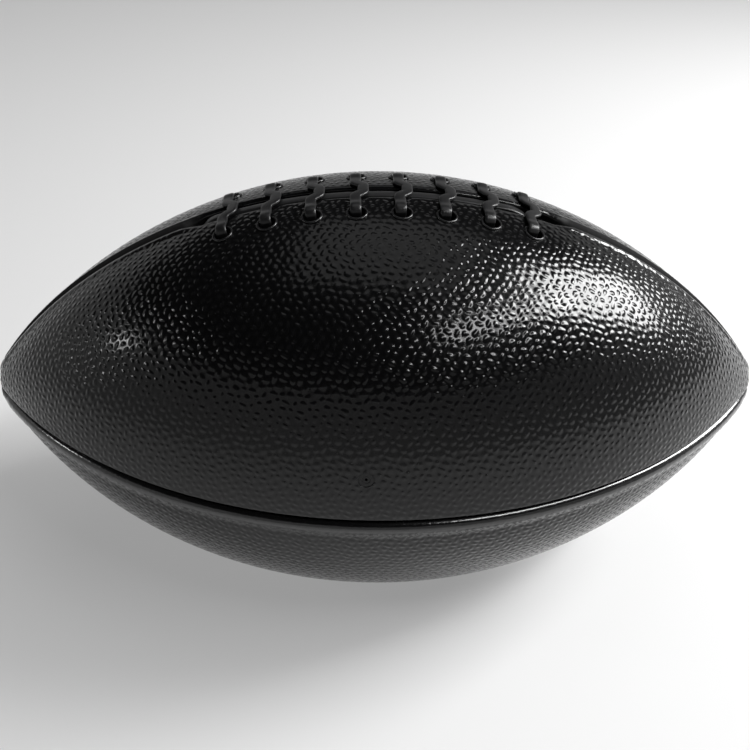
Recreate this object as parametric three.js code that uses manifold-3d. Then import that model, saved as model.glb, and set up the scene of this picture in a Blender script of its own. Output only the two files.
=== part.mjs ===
// American football: four pebbled panels over a lined bladder, laced along the top seam.
// Millimetres, +Z up. X runs from tip to tip, the laces are on top, and the ball stands on z = 0
// with the origin under its centre. Inside the ball's group the origin is the ball's centre.

import * as THREE from 'three';
import { mergeVertices } from 'three/addons/utils/BufferGeometryUtils.js';
import Module from 'manifold-3d';

// Outer form
const LENGTH = 280;
const DIAMETER = 151;
const NOSE_RADIUS = 15;
const REST_FLAT_DEPTH = 0.5;

// Cover and bladder
const PANEL_THICKNESS = 2.2;
const SEAM_LIP_RADIUS = 3;
const UPPER_LIP_RADIUS = 1.2;
const SLOT_LIP_RADIUS = 1.5;
const SEAM_WELT = 1;
const WELT_WIDTH = 4;
const SEAM_FLANGE = 2.4;
const LINING_THICKNESS = 1.2;
const BLADDER_WALL = 0.8;
const THREAD_DIAMETER = 0.6;

// Lacing
const LACE_ROWS = 8;
const LACE_PITCH = 14.2;
const LACING_SHIFT = -1.6;
const EYELET_OFFSET = 13.7;
const LACE_WIDTH = 3.6;
const LACE_THICKNESS = 1.3;
const LACE_BEND = 1.9;
const LACE_TURN = 4.5;
const LACE_JOG = 2.4;
const LACE_LEAN = -0.35;
const LACE_PULL = 0.3;
const LACE_TAIL = 7;
const STRIP_RISE = -0.1;
const STRIP_OFFSET = -1.3;
const SLOT_WIDTH = 6.8;
const SLOT_OVERRUN = 8.5;
const SLOT_TAPER = 7;
const EYELET_WALL = 0.35;
const EYELET_RIM = 0.45;
const EYELET_RIM_HEIGHT = 0.45;
const EYELET_FOOT = 0.5;
const GUARD_THICKNESS = 1;
const GUARD_OVERLAP = 1.5;

// Valve
const VALVE_X = -6;
const VALVE_ABOVE_SEAM = 16.5;
const VALVE_STEM_DIAMETER = 4.8;
const VALVE_RECESS = 0.1;
const VALVE_FLANGE_DIAMETER = 10;
const VALVE_FLANGE_THICKNESS = 1;
const VALVE_BARREL_DIAMETER = 6.4;
const VALVE_BARREL_LENGTH = 6;
const PLUG_DIAMETER = 2.4;
const PLUG_RECESS = 0.1;
const NEEDLE_HOLE_DIAMETER = 0.9;
const NEEDLE_HOLE_DEPTH = 9;

// Clearances: between neighbouring pieces, round the lace in an eyelet, of the lace to itself and
// to what it passes over, of the valve's flange under the bladder's wall, and round the dent
const FIT = 0.3;
const LACE_ROOM = 0.9;
const LACE_GAP = 0.5;
const FLANGE_ROOM = 2;
const DENT_MARGIN = 8;
const DENT_FADE = 14;

// Where a panel narrows: the shares of its half width that the turned-in edge, a welt and the slope
// behind it may take, the share of its quarter that one edge may take, and the half openings of a
// seam left at the panel's point
const FLANGE_SHARE = 0.6;
const WELT_SHARE = 0.12;
const SLOPE_SHARE = 0.25;
const EDGE_SHARE = 0.4;
const TIP_SHARE = 3.4;

// Facet counts, and how close two points are one
const OUTER_STEPS = 10;
const INNER_STEPS = 7;
const SLOT_STEPS = 6;
const FLANK_STEPS = 5;
const NOSE_STEPS = 3;
const RING_STEPS = 8;
const CAVITY_SIDES = 16;
const THREAD_SIDES = 5;
const BEND_STEPS = 3;
const DIVE_STEPS = 5;
const RUN_STEPS = 4;
const GUARD_STEPS = 6;
const GUARD_RINGS = 10;
const SAME_POINT = 1e-4;

// Derived sizes
const QUARTER = Math.PI / 2;
const HALF_LENGTH = LENGTH / 2;
const RADIUS = DIAMETER / 2;
const CENTRE_HEIGHT = RADIUS - REST_FLAT_DEPTH;
const NOSE_X = HALF_LENGTH - NOSE_RADIUS;
const FLANK_RADIUS = (NOSE_X ** 2 + RADIUS ** 2 - NOSE_RADIUS ** 2) / (2 * (RADIUS - NOSE_RADIUS));
const FLANK_DROP = FLANK_RADIUS - RADIUS;
const NOSE_ANGLE = Math.atan2(NOSE_X, FLANK_DROP);

const SEAM_HALF = THREAD_DIAMETER / 2 + FIT;
const SLOT_HALF = SLOT_WIDTH / 2;
const LINING_TOP = PANEL_THICKNESS + FIT;
const COVER_DEPTH = LINING_TOP + LINING_THICKNESS;
const THREAD_DEPTH = COVER_DEPTH - THREAD_DIAMETER / 2 - FIT;
const BLADDER_DEPTH = COVER_DEPTH + FIT;
const TIP_ANGLE = Math.acos(TIP_SHARE * SEAM_HALF / NOSE_RADIUS);

const LACING_HALF = LACE_PITCH * (LACE_ROWS - 1) / 2;
const SLOT_FLAT_HALF = LACING_HALF + SLOT_OVERRUN;
const SLOT_END_HALF = SLOT_FLAT_HALF + SLOT_TAPER;
const EYELET_BORE = LACE_WIDTH / 2 + LACE_ROOM;
const EYELET_BARREL = EYELET_BORE + EYELET_WALL;
const EYELET_EDGE = EYELET_BARREL + EYELET_RIM;
const EYELET_TOP = FIT + EYELET_RIM_HEIGHT;
const EYELET_FOOT_EDGE = EYELET_EDGE + FIT;
const EYELET_FOOT_TOP = -COVER_DEPTH - 3 * FIT;
const EYELET_FOOT_BASE = EYELET_FOOT_TOP - EYELET_FOOT;

const HALF_WIDTH = LACE_WIDTH / 2;
const HALF_LACE = LACE_THICKNESS / 2;
const LACE_SIDE = EYELET_OFFSET - LACE_PULL;
const LACE_OVER_RIM = EYELET_TOP + LACE_GAP + HALF_LACE;
const LACE_ON_PANEL = LACE_GAP + HALF_LACE;
const LACE_UNDER_COVER = -COVER_DEPTH - LACE_GAP - HALF_LACE;
const LACE_INSIDE = EYELET_FOOT_BASE - LACE_GAP - HALF_LACE;
const STRIP_HEIGHT = STRIP_RISE - HALF_LACE;
const GUARD_TOP = LACE_INSIDE - HALF_LACE - LACE_GAP;
const GUARD_BASE = GUARD_TOP - GUARD_THICKNESS;
const GUARD_HALF_WIDTH = EYELET_OFFSET + GUARD_OVERLAP;
const GUARD_HALF_LENGTH = SLOT_END_HALF + SLOT_TAPER;
const DENT_DEPTH = FIT - GUARD_BASE - BLADDER_DEPTH;
const DENT_HALF_WIDTH = GUARD_HALF_WIDTH + DENT_MARGIN;
const DENT_HALF_LENGTH = GUARD_HALF_LENGTH + DENT_MARGIN;
const PLUG_BORE = PLUG_DIAMETER / 2 + FIT;

const { lerp, smoothstep } = THREE.MathUtils;
const wasm = await Module();
wasm.setup();

// The ball's surface. Its meridian is a flank arc with a small arc at each nose. A station on it is
// the angle of its outward normal from the upright, and height is measured out along that normal.
// Turn is the angle round X from the laced seam towards the near side, which is -Y.
function meridian(station, height) {
  const onNose = Math.abs(station) > NOSE_ANGLE;
  const reach = (onNose ? NOSE_RADIUS : FLANK_RADIUS) + height;
  const centreX = onNose ? Math.sign(station) * NOSE_X : 0;
  const centreR = onNose ? 0 : -FLANK_DROP;
  return { x: centreX + reach * Math.sin(station), r: centreR + reach * Math.cos(station) };
}

function stationAt(x) {
  return Math.asin(x / FLANK_RADIUS);
}

function turned(x, r, turn) {
  return new THREE.Vector3(x, -r * Math.sin(turn), r * Math.cos(turn));
}

function surfacePoint(station, turn, height) {
  const { x, r } = meridian(station, height);
  return turned(x, r, turn);
}

function surfaceNormal(station, turn) {
  return turned(Math.sin(station), Math.cos(station), turn);
}

// A place over the lacing: x along the ball from the lacing's middle, y across from the laced seam,
// measured on the surface and positive away from the near side.
function lacingPlace(x, y) {
  const station = stationAt(x + LACING_SHIFT);
  return { station, turn: -y / meridian(station, 0).r };
}

function lacingPoint(x, y, height) {
  const { station, turn } = lacingPlace(x, y);
  return surfacePoint(station, turn, height);
}

// Stations from tip to tip, closer together at the noses and with one at each corner of the slot.
function spread(from, to, steps) {
  return Array.from({ length: steps }, (_, i) => from + (to - from) * i / steps);
}

const slotAngles = [-SLOT_END_HALF, -SLOT_FLAT_HALF, SLOT_FLAT_HALF, SLOT_END_HALF]
  .map((x) => stationAt(x + LACING_SHIFT));
const flankStations = [
  ...spread(-NOSE_ANGLE, slotAngles[0], FLANK_STEPS),
  slotAngles[0],
  ...spread(slotAngles[1], slotAngles[2], SLOT_STEPS),
  slotAngles[2],
  ...spread(slotAngles[3], NOSE_ANGLE, FLANK_STEPS),
  NOSE_ANGLE,
];
const stations = [
  ...spread(-TIP_ANGLE, -NOSE_ANGLE, NOSE_STEPS),
  ...flankStations,
  ...spread(TIP_ANGLE, NOSE_ANGLE, NOSE_STEPS).reverse(),
];

// The panels, and the seam that each starts at: 0 is the laced one, 1 near, 2 at the bottom and 3
// far, at quarter turns. Half the opening between two panels is constant, except where the laced
// seam widens into the slot.
const quarterNames = ['near_upper', 'near_lower', 'far_lower', 'far_upper'];

function narrowing(station) {
  const past = Math.abs(meridian(station, 0).x - LACING_SHIFT) - SLOT_FLAT_HALF;
  return THREE.MathUtils.clamp(past / SLOT_TAPER, 0, 1);
}

function seamOpening(seam, station) {
  return seam % 4 === 0 ? lerp(SLOT_HALF, SEAM_HALF, narrowing(station)) : SEAM_HALF;
}

// The rounding of a panel into a seam is smaller along the slot and on an upper panel's lower edge,
// and a lower panel's upper edge stands proud as a welt.
function lipRadius(seam, station, lower) {
  if (seam % 2 === 1) return lower ? SEAM_LIP_RADIUS : UPPER_LIP_RADIUS;
  return seam % 4 === 0 ? lerp(SLOT_LIP_RADIUS, SEAM_LIP_RADIUS, narrowing(station)) : SEAM_LIP_RADIUS;
}

// The sizes of a panel's two edges at a station. All but the openings shrink where the panel runs
// out to its point.
function edgeSizes(quarter, station) {
  const seams = [quarter, quarter + 1];
  const openings = seams.map((seam) => seamOpening(seam, station));
  const { r } = meridian(station, -COVER_DEPTH);
  const room = (QUARTER * r - openings[0] - openings[1]) / 2;
  const lower = quarterNames[quarter].endsWith('lower');
  const [start, end] = seams.map((seam, i) => ({
    opening: openings[i],
    lip: Math.min(lipRadius(seam, station, lower), COVER_DEPTH - FIT, room / 2),
    welt: lower && seam % 2 === 1 ? Math.min(SEAM_WELT, WELT_SHARE * room) : 0,
  }));
  return {
    start,
    end,
    slope: Math.min(WELT_WIDTH, SLOPE_SHARE * room),
    flange: Math.min(SEAM_FLANGE, FLANGE_SHARE * room),
  };
}

// The turn from a seam's plane to a line at a distance beside it, kept short of the panel's middle.
function turnBeside(distance, station, height) {
  const { r } = meridian(station, height);
  return Math.min(Math.asin(Math.min(distance / r, 1)), EDGE_SHARE * QUARTER);
}

// Points of a section are pairs of turn within the quarter and height.
function startEdge(distance, station, height) {
  return [turnBeside(distance, station, height), height];
}

function endEdge(distance, station, height) {
  return [QUARTER - turnBeside(distance, station, height), height];
}

function arc(from, to, steps) {
  return Array.from({ length: steps + 1 }, (_, i) => {
    const share = i / steps;
    return [from[0] + (to[0] - from[0]) * share, from[1] + (to[1] - from[1]) * share];
  });
}

// From the outer surface over the lip and the turned-in flange to the inner surface.
function edgeSection(side, { opening, lip, welt }, flange, station) {
  const round = lip * (1 - Math.SQRT1_2);
  return [
    side(opening + lip, station, welt),
    side(opening + round, station, welt - round),
    side(opening, station, welt - lip),
    side(opening, station, -COVER_DEPTH),
    side(opening + flange, station, -COVER_DEPTH),
  ];
}

function panelSection(quarter, station) {
  const { start, end, slope, flange } = edgeSizes(quarter, station);
  return [
    ...arc(
      startEdge(start.opening + start.lip + slope, station, 0),
      endEdge(end.opening + end.lip + slope, station, 0),
      OUTER_STEPS,
    ),
    ...edgeSection(endEdge, end, flange, station),
    ...arc(
      endEdge(end.opening + flange, station, -PANEL_THICKNESS),
      startEdge(start.opening + flange, station, -PANEL_THICKNESS),
      INNER_STEPS,
    ),
    ...edgeSection(startEdge, start, flange, station).reverse(),
  ];
}

function liningArc(quarter, station, height) {
  const { start, end, flange } = edgeSizes(quarter, station);
  const from = startEdge(start.opening + flange + FIT, station, height);
  const to = endEdge(end.opening + flange + FIT, station, height);
  return arc(from, to, INNER_STEPS);
}

function liningSection(quarter, station) {
  return [
    ...liningArc(quarter, station, -LINING_TOP),
    ...liningArc(quarter, station, -COVER_DEPTH).reverse(),
  ];
}

// Geometry helpers. Shared points are merged, and the faces are turned outwards by the sign of the
// enclosed volume.
function facingOut(geometry) {
  const bare = geometry.clone();
  bare.deleteAttribute('normal');
  bare.deleteAttribute('uv');
  const merged = mergeVertices(bare, SAME_POINT);
  const { position } = merged.attributes;
  const corners = merged.index.array;
  const [a, b, c] = [new THREE.Vector3(), new THREE.Vector3(), new THREE.Vector3()];
  let sixVolumes = 0;
  for (let i = 0; i < corners.length; i += 3) {
    a.fromBufferAttribute(position, corners[i]);
    b.fromBufferAttribute(position, corners[i + 1]);
    c.fromBufferAttribute(position, corners[i + 2]);
    sixVolumes += a.dot(b.cross(c));
  }
  if (sixVolumes < 0) corners.reverse();
  merged.computeVertexNormals();
  return merged;
}

// A loft joins rings of equal length and closes each end by an outline that lists that ring's points
// in a flat frame.
function loft(rings, startOutline, endOutline) {
  const count = rings[0].length;
  const last = (rings.length - 1) * count;
  const faces = [];
  for (let i = 0; i < last; i += count) {
    for (let j = 0; j < count; j += 1) {
      const a = i + j;
      const b = i + (j + 1) % count;
      faces.push([a, b, b + count], [a, b + count, a + count]);
    }
  }
  const close = (outline, first, turn) => {
    const clockwise = THREE.ShapeUtils.isClockWise(outline);
    for (const [a, b, c] of THREE.ShapeUtils.triangulateShape(outline, [])) {
      const face = clockwise === turn ? [a, b, c] : [a, c, b];
      faces.push(face.map((corner) => corner + first));
    }
  };
  close(startOutline, 0, true);
  close(endOutline, last, false);
  const geometry = new THREE.BufferGeometry().setFromPoints(rings.flat());
  geometry.setIndex(faces.flat());
  return facingOut(geometry);
}

function solidOf(geometry) {
  const { attributes, index } = facingOut(geometry);
  const triVerts = new Uint32Array(index.array);
  const vertProperties = attributes.position.array;
  return new wasm.Manifold(new wasm.Mesh({ numProp: 3, vertProperties, triVerts }));
}

function cut(geometry, tools) {
  const solid = tools.reduce((left, tool) => left.subtract(solidOf(tool)), solidOf(geometry));
  const { vertProperties, triVerts } = solid.getMesh();
  const result = new THREE.BufferGeometry();
  result.setAttribute('position', new THREE.BufferAttribute(vertProperties, 3));
  result.setIndex(new THREE.BufferAttribute(triVerts, 1));
  result.computeVertexNormals();
  return result;
}

const UP = new THREE.Vector3(0, 0, 1);
const ONE = new THREE.Vector3(1, 1, 1);

function standingOn(station, turn) {
  const upright = new THREE.Quaternion().setFromUnitVectors(UP, surfaceNormal(station, turn));
  return new THREE.Matrix4().compose(surfacePoint(station, turn, 0), upright, ONE);
}

// A round tool through the whole cover and bladder wall, on the surface normal.
function roundTool(station, turn, radius) {
  const tool = new THREE.CylinderGeometry(radius, radius, 4 * BLADDER_DEPTH, RING_STEPS);
  return tool.rotateX(QUARTER).applyMatrix4(standingOn(station, turn));
}

// A closed profile of radii and heights turned about the upright.
function turnedProfile(profile) {
  const closed = [...profile, profile[0]].map(([radius, height]) => new THREE.Vector2(radius, height));
  return facingOut(new THREE.LatheGeometry(closed, RING_STEPS).rotateX(QUARTER));
}

function sectionOutline(section, station) {
  const { r } = meridian(station, 0);
  return section.map(([turn, height]) => new THREE.Vector2(turn * r, height));
}

function quarterLoft(sectionAt, quarter, along) {
  const sections = along.map((station) => sectionAt(quarter, station));
  const rings = sections.map((section, i) => section.map(
    ([turn, height]) => surfacePoint(along[i], quarter * QUARTER + turn, height),
  ));
  const first = sectionOutline(sections[0], along[0]);
  const last = sectionOutline(sections.at(-1), along.at(-1));
  return loft(rings, first, last);
}

// Eyelets stand in two rows beside the slot, and the valve low on the near upper panel.
const rowX = Array.from({ length: LACE_ROWS }, (_, i) => i * LACE_PITCH - LACING_HALF);
const nearEyelets = rowX.map((x) => lacingPlace(x, -EYELET_OFFSET));
const farEyelets = rowX.map((x) => lacingPlace(x, EYELET_OFFSET));
const valveStation = stationAt(VALVE_X);
const valveTurn = QUARTER - VALVE_ABOVE_SEAM / meridian(valveStation, 0).r;

const eyeletTools = (places) => places.map(
  ({ station, turn }) => roundTool(station, turn, EYELET_BARREL + FIT),
);
const valveTool = roundTool(valveStation, valveTurn, VALVE_STEM_DIAMETER / 2 + FIT);
const floorTool = new THREE.BoxGeometry(LENGTH, DIAMETER, DIAMETER)
  .translate(0, 0, -CENTRE_HEIGHT - RADIUS);

const panelTools = [
  [...eyeletTools(nearEyelets), valveTool],
  [floorTool],
  [floorTool],
  eyeletTools(farEyelets),
];
const liningTools = [
  [...eyeletTools(nearEyelets), valveTool],
  [],
  [],
  eyeletTools(farEyelets),
];

// The bladder follows the linings and is pressed in under the lacing. Its inner wall is coarser, and
// its dent wider, so that the wall is never thinner than set.
function dentShare(station, turn, wider) {
  const { x, r } = meridian(station, 0);
  const along = Math.abs(x - LACING_SHIFT);
  const across = Math.abs(THREE.MathUtils.euclideanModulo(turn + Math.PI, 4 * QUARTER) - Math.PI) * r;
  const lengthways = smoothstep(along, DENT_HALF_LENGTH + wider, DENT_HALF_LENGTH + wider + DENT_FADE);
  const sideways = smoothstep(across, DENT_HALF_WIDTH + wider, DENT_HALF_WIDTH + wider + DENT_FADE);
  return (1 - lengthways) * (1 - sideways);
}

function bladderRing(station) {
  return quarterNames.flatMap((_, quarter) => {
    const turns = liningArc(quarter, station, -COVER_DEPTH).map(([turn]) => quarter * QUARTER + turn);
    return turns.map((turn) => {
      const depth = BLADDER_DEPTH + DENT_DEPTH * dentShare(station, turn, 0);
      return surfacePoint(station, turn, -depth);
    });
  });
}

function cavityRing(station) {
  return spread(0, 4 * QUARTER, CAVITY_SIDES).map((turn) => {
    const dent = DENT_DEPTH * dentShare(station, turn, DENT_FADE);
    return surfacePoint(station, turn, -BLADDER_DEPTH - BLADDER_WALL - dent);
  });
}

function tube(rings) {
  const outline = (ring) => ring.map((point) => new THREE.Vector2(point.y, point.z));
  return loft(rings, outline(rings[0]), outline(rings.at(-1)));
}

const bladderStations = [-TIP_ANGLE, ...flankStations, TIP_ANGLE];
const bladder = cut(
  tube(bladderStations.map(bladderRing)),
  [tube(flankStations.map(cavityRing)), valveTool],
);

// The guard lies in the dent, between the bladder and the runs of lace inside.
function guardRing(x) {
  const across = spread(-GUARD_HALF_WIDTH, GUARD_HALF_WIDTH, GUARD_STEPS).concat(GUARD_HALF_WIDTH);
  return [
    ...across.map((y) => lacingPoint(x, y, GUARD_TOP)),
    ...across.reverse().map((y) => lacingPoint(x, y, GUARD_BASE)),
  ];
}

const guardX = spread(-GUARD_HALF_LENGTH, GUARD_HALF_LENGTH, GUARD_RINGS).concat(GUARD_HALF_LENGTH);
const guard = tube(guardX.map(guardRing));

// A thread lies along each seam between the turned-in edges.
function threadRing(seam, station) {
  const middle = surfacePoint(station, seam * QUARTER, -THREAD_DEPTH);
  const out = surfaceNormal(station, seam * QUARTER);
  const side = turned(0, 1, (seam + 1) * QUARTER);
  return spread(0, 4 * QUARTER, THREAD_SIDES).map((angle) => middle.clone()
    .addScaledVector(out, Math.cos(angle) * THREAD_DIAMETER / 2)
    .addScaledVector(side, Math.sin(angle) * THREAD_DIAMETER / 2));
}

const threadOutline = spread(0, 4 * QUARTER, THREAD_SIDES)
  .map((angle) => new THREE.Vector2(Math.cos(angle), Math.sin(angle)));
const thread = (seam, along) => loft(
  along.map((station) => threadRing(seam, station)),
  threadOutline,
  threadOutline,
);

// The lace is one flat cord. From a tail under the left end of the slot it rises and runs along the
// slot as a strip, dives under the last row, comes up at the near side and then crosses over each
// row in turn, with a slanting run inside between rows. A stop on its route is a place over the
// lacing, a height, and the way its face looks in the directions along, across and out.
const SLANT = new THREE.Vector2(-LACE_PITCH, -2 * LACE_SIDE).normalize();
const SQUARE = new THREE.Vector2(0, -1);
const CORNER = THREE.MathUtils.degToRad(150);
const LEAVING = new THREE.Vector2(Math.cos(CORNER), -Math.sin(CORNER));
const FLAT_IN = [0, 0, -1];

function bendAngles() {
  return spread(0, QUARTER, BEND_STEPS).concat(QUARTER);
}

function slide(from, to, steps) {
  return spread(0, 1, steps).concat(1).map((share) => {
    const eased = smoothstep(share, 0, 1);
    return {
      x: lerp(from[0], to[0], share),
      y: lerp(from[1], to[1], eased),
      height: lerp(from[2], to[2], eased),
      face: FLAT_IN,
    };
  });
}

function stripRoute() {
  const last = rowX.at(-1);
  const rows = rowX.slice(0, -1);
  const diveStart = last - LACE_WIDTH;
  const diveEnd = last + LACE_TURN + LACE_THICKNESS;
  const turnY = STRIP_OFFSET - LACE_TURN;
  const corner = spread(0, CORNER, 2 * BEND_STEPS).slice(1).concat(CORNER);
  return [
    { x: -SLOT_END_HALF - LACE_TURN, y: 0, height: LACE_INSIDE, face: FLAT_IN },
    ...slide(
      [-SLOT_END_HALF + HALF_WIDTH, 0, LACE_UNDER_COVER],
      [-LACING_HALF - LACE_TURN, STRIP_OFFSET, STRIP_HEIGHT],
      DIVE_STEPS,
    ),
    ...rows.map((x) => ({ x, y: STRIP_OFFSET, height: STRIP_HEIGHT, face: FLAT_IN })),
    ...slide([diveStart, STRIP_OFFSET, STRIP_HEIGHT], [diveEnd, STRIP_OFFSET, LACE_INSIDE], DIVE_STEPS),
    ...corner.map((angle) => ({
      x: diveEnd + LACE_TURN * Math.sin(angle),
      y: turnY + LACE_TURN * Math.cos(angle),
      height: LACE_INSIDE,
      face: FLAT_IN,
    })),
  ];
}

// Up through the near eyelet of a row, arriving inside in the direction of run.
function nearRise(x, run) {
  const up = bendAngles().map((angle) => {
    const back = LACE_BEND * (1 - Math.sin(angle));
    return {
      x: x - run.x * back,
      y: -LACE_SIDE - run.y * back,
      height: LACE_INSIDE + LACE_BEND * (1 - Math.cos(angle)),
      face: [run.x * Math.sin(angle), run.y * Math.sin(angle), -Math.cos(angle)],
    };
  });
  const over = bendAngles().map((angle) => ({
    x,
    y: -LACE_SIDE + LACE_BEND * (1 - Math.cos(angle)),
    height: LACE_OVER_RIM - LACE_BEND * (1 - Math.sin(angle)),
    face: [0, -Math.cos(angle), Math.sin(angle)],
  }));
  return [...up, ...over];
}

// Over the panels, the slot and the strip, with a step along the ball where it crosses the slot.
function crossing(x) {
  const half = [
    [EYELET_OFFSET - EYELET_EDGE - LACE_BEND, 0],
    [SLOT_HALF + SLOT_LIP_RADIUS, 0],
    [SLOT_HALF - LACE_JOG / 2, LACE_JOG],
  ];
  return [
    ...half.map(([y, jog]) => [-y, jog]),
    [0, LACE_JOG],
    ...half.reverse(),
  ].map(([y, jog]) => ({ x: x + jog, y, height: LACE_ON_PANEL, face: [0, 0, 1] }));
}

// Down through the far eyelet of a row, leaving inside in the direction of run.
function farFall(x, run) {
  const over = bendAngles().map((angle) => ({
    x,
    y: LACE_SIDE - LACE_BEND * (1 - Math.sin(angle)),
    height: LACE_OVER_RIM - LACE_BEND * (1 - Math.cos(angle)),
    face: [0, Math.sin(angle), Math.cos(angle)],
  }));
  const down = bendAngles().map((angle) => {
    const ahead = LACE_BEND * (1 - Math.cos(angle));
    return {
      x: x + run.x * ahead,
      y: LACE_SIDE + run.y * ahead,
      height: LACE_INSIDE + LACE_BEND * (1 - Math.sin(angle)),
      face: [-run.x * Math.cos(angle), -run.y * Math.cos(angle), -Math.sin(angle)],
    };
  });
  return [...over, ...down];
}

// Along under the cover from the far eyelet of a row to the near one of the row before it.
function insideRun(x) {
  return spread(0, 1, RUN_STEPS).slice(1).map((share) => ({
    x: x - LACE_PITCH * share,
    y: lerp(LACE_SIDE, -LACE_SIDE, share),
    height: LACE_INSIDE,
    face: FLAT_IN,
  }));
}

function laceRoute() {
  const [first, ...rest] = rowX.map((x) => x + LACE_LEAN).reverse();
  const stops = [
    ...nearRise(first, LEAVING),
    ...crossing(first),
    ...rest.flatMap((x) => [
      ...farFall(x + LACE_PITCH, SLANT),
      ...insideRun(x + LACE_PITCH),
      ...nearRise(x, SLANT),
      ...crossing(x),
    ]),
    ...farFall(rest.at(-1), SQUARE),
  ];
  const tail = { ...stops.at(-1), y: stops.at(-1).y - LACE_TAIL };
  return [...stripRoute(), ...stops, tail];
}

function laceRings() {
  const stops = laceRoute().map(({ x, y, height, face }) => {
    const { station, turn } = lacingPlace(x, y);
    const out = surfaceNormal(station, turn);
    const across = turned(0, 1, turn - QUARTER);
    const along = across.clone().cross(out);
    const look = new THREE.Vector3()
      .addScaledVector(along, face[0])
      .addScaledVector(across, face[1])
      .addScaledVector(out, face[2]);
    return { middle: surfacePoint(station, turn, height), look };
  });
  return stops.map(({ middle, look }, i) => {
    const before = stops[Math.max(i - 1, 0)].middle;
    const after = stops[Math.min(i + 1, stops.length - 1)].middle;
    const ahead = after.clone().sub(before).normalize();
    const thick = look.clone().addScaledVector(ahead, -look.dot(ahead)).normalize();
    const wide = ahead.clone().cross(thick);
    return laceSection.map(({ x, y }) => middle.clone().addScaledVector(wide, x).addScaledVector(thick, y));
  });
}

const laceFlat = HALF_WIDTH - HALF_LACE;
const laceSection = [
  new THREE.Vector2(HALF_WIDTH, 0),
  new THREE.Vector2(laceFlat, HALF_LACE),
  new THREE.Vector2(-laceFlat, HALF_LACE),
  new THREE.Vector2(-HALF_WIDTH, 0),
  new THREE.Vector2(-laceFlat, -HALF_LACE),
  new THREE.Vector2(laceFlat, -HALF_LACE),
];

// The least distance between points of the lace that lie further apart along it than three widths,
// on rings four times as close as the lofted ones and with a point more on each side.
function leastGap(rings) {
  const finer = rings.slice(1).flatMap((ring, i) => spread(0, 1, 4).map((share) => {
    const between = ring.map((point, k) => rings[i][k].clone().lerp(point, share));
    const sides = between.map((point, k) => point.clone().lerp(between[(k + 1) % between.length], 0.5));
    return [...between, ...sides];
  }));
  const centres = finer.map((ring) => ring[0].clone().lerp(ring[3], 0.5));
  const run = [0];
  centres.slice(1).forEach((centre, i) => run.push(run[i] + centre.distanceTo(centres[i])));
  let least = Infinity;
  finer.forEach((ring, i) => {
    for (let j = i + 1; j < finer.length; j += 1) {
      const apart = run[j] - run[i] > 3 * LACE_WIDTH;
      if (apart && centres[i].distanceTo(centres[j]) < 2 * LACE_WIDTH) {
        for (const a of ring) {
          for (const b of finer[j]) least = Math.min(least, a.distanceTo(b));
        }
      }
    }
  });
  return least;
}

const rings = laceRings();
const lace = loft(rings, laceSection, laceSection);
console.log(`lace: least gap to itself ${leastGap(rings).toFixed(2)} mm on points`);

// Turned pieces: an eyelet with its rim, barrel and spread foot, the valve and its plug.
const rimMiddle = (EYELET_BORE + EYELET_EDGE) / 2;
const rimShoulder = FIT + EYELET_RIM_HEIGHT / 2;
const eyelet = turnedProfile([
  [EYELET_BORE, EYELET_FOOT_BASE],
  [EYELET_BORE, rimShoulder],
  [rimMiddle, EYELET_TOP],
  [EYELET_EDGE, rimShoulder],
  [EYELET_EDGE, FIT],
  [EYELET_BARREL, FIT],
  [EYELET_BARREL, EYELET_FOOT_TOP],
  [EYELET_FOOT_EDGE, EYELET_FOOT_TOP],
  [EYELET_FOOT_EDGE, EYELET_FOOT_BASE],
]);

const valveFlangeTop = -BLADDER_DEPTH - BLADDER_WALL - FLANGE_ROOM;
const valveFlangeBase = valveFlangeTop - VALVE_FLANGE_THICKNESS;
const valveBase = valveFlangeBase - VALVE_BARREL_LENGTH;
const valveBody = turnedProfile([
  [PLUG_BORE, valveBase],
  [PLUG_BORE, -VALVE_RECESS],
  [VALVE_STEM_DIAMETER / 2, -VALVE_RECESS],
  [VALVE_STEM_DIAMETER / 2, valveFlangeTop],
  [VALVE_FLANGE_DIAMETER / 2, valveFlangeTop],
  [VALVE_FLANGE_DIAMETER / 2, valveFlangeBase],
  [VALVE_BARREL_DIAMETER / 2, valveFlangeBase],
  [VALVE_BARREL_DIAMETER / 2, valveBase],
]);

const plugTop = -VALVE_RECESS - PLUG_RECESS;
const plug = facingOut(new THREE.LatheGeometry([
  [0, valveBase],
  [PLUG_DIAMETER / 2, valveBase],
  [PLUG_DIAMETER / 2, plugTop],
  [NEEDLE_HOLE_DIAMETER / 2, plugTop],
  [NEEDLE_HOLE_DIAMETER / 2, plugTop - NEEDLE_HOLE_DEPTH],
  [0, plugTop - NEEDLE_HOLE_DEPTH],
].map(([radius, height]) => new THREE.Vector2(radius, height)), RING_STEPS).rotateX(QUARTER));

// Finishes, all close to black in the photograph
const finishes = {
  panel: { color: 0x0c0c0d, roughness: 0.38, metalness: 0 },
  lace: { color: 0x101011, roughness: 0.45, metalness: 0 },
  eyelet: { color: 0x0e0e0f, roughness: 0.3, metalness: 0 },
  lining: { color: 0x2a2a2b, roughness: 0.9, metalness: 0 },
  bladder: { color: 0x141414, roughness: 0.6, metalness: 0 },
  guard: { color: 0x1c1c1d, roughness: 0.8, metalness: 0 },
  thread: { color: 0x0b0b0b, roughness: 0.7, metalness: 0 },
  valve: { color: 0x111111, roughness: 0.55, metalness: 0 },
};

// Assembly
const ball = new THREE.Group();
ball.position.z = CENTRE_HEIGHT;

function addPiece(name, geometry, finish) {
  const mesh = new THREE.Mesh(geometry, new THREE.MeshStandardMaterial(finishes[finish]));
  mesh.name = name;
  ball.add(mesh);
  return mesh;
}

function addOnSurface(name, geometry, finish, station, turn) {
  const mesh = addPiece(name, geometry, finish);
  mesh.applyMatrix4(standingOn(station, turn));
}

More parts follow.
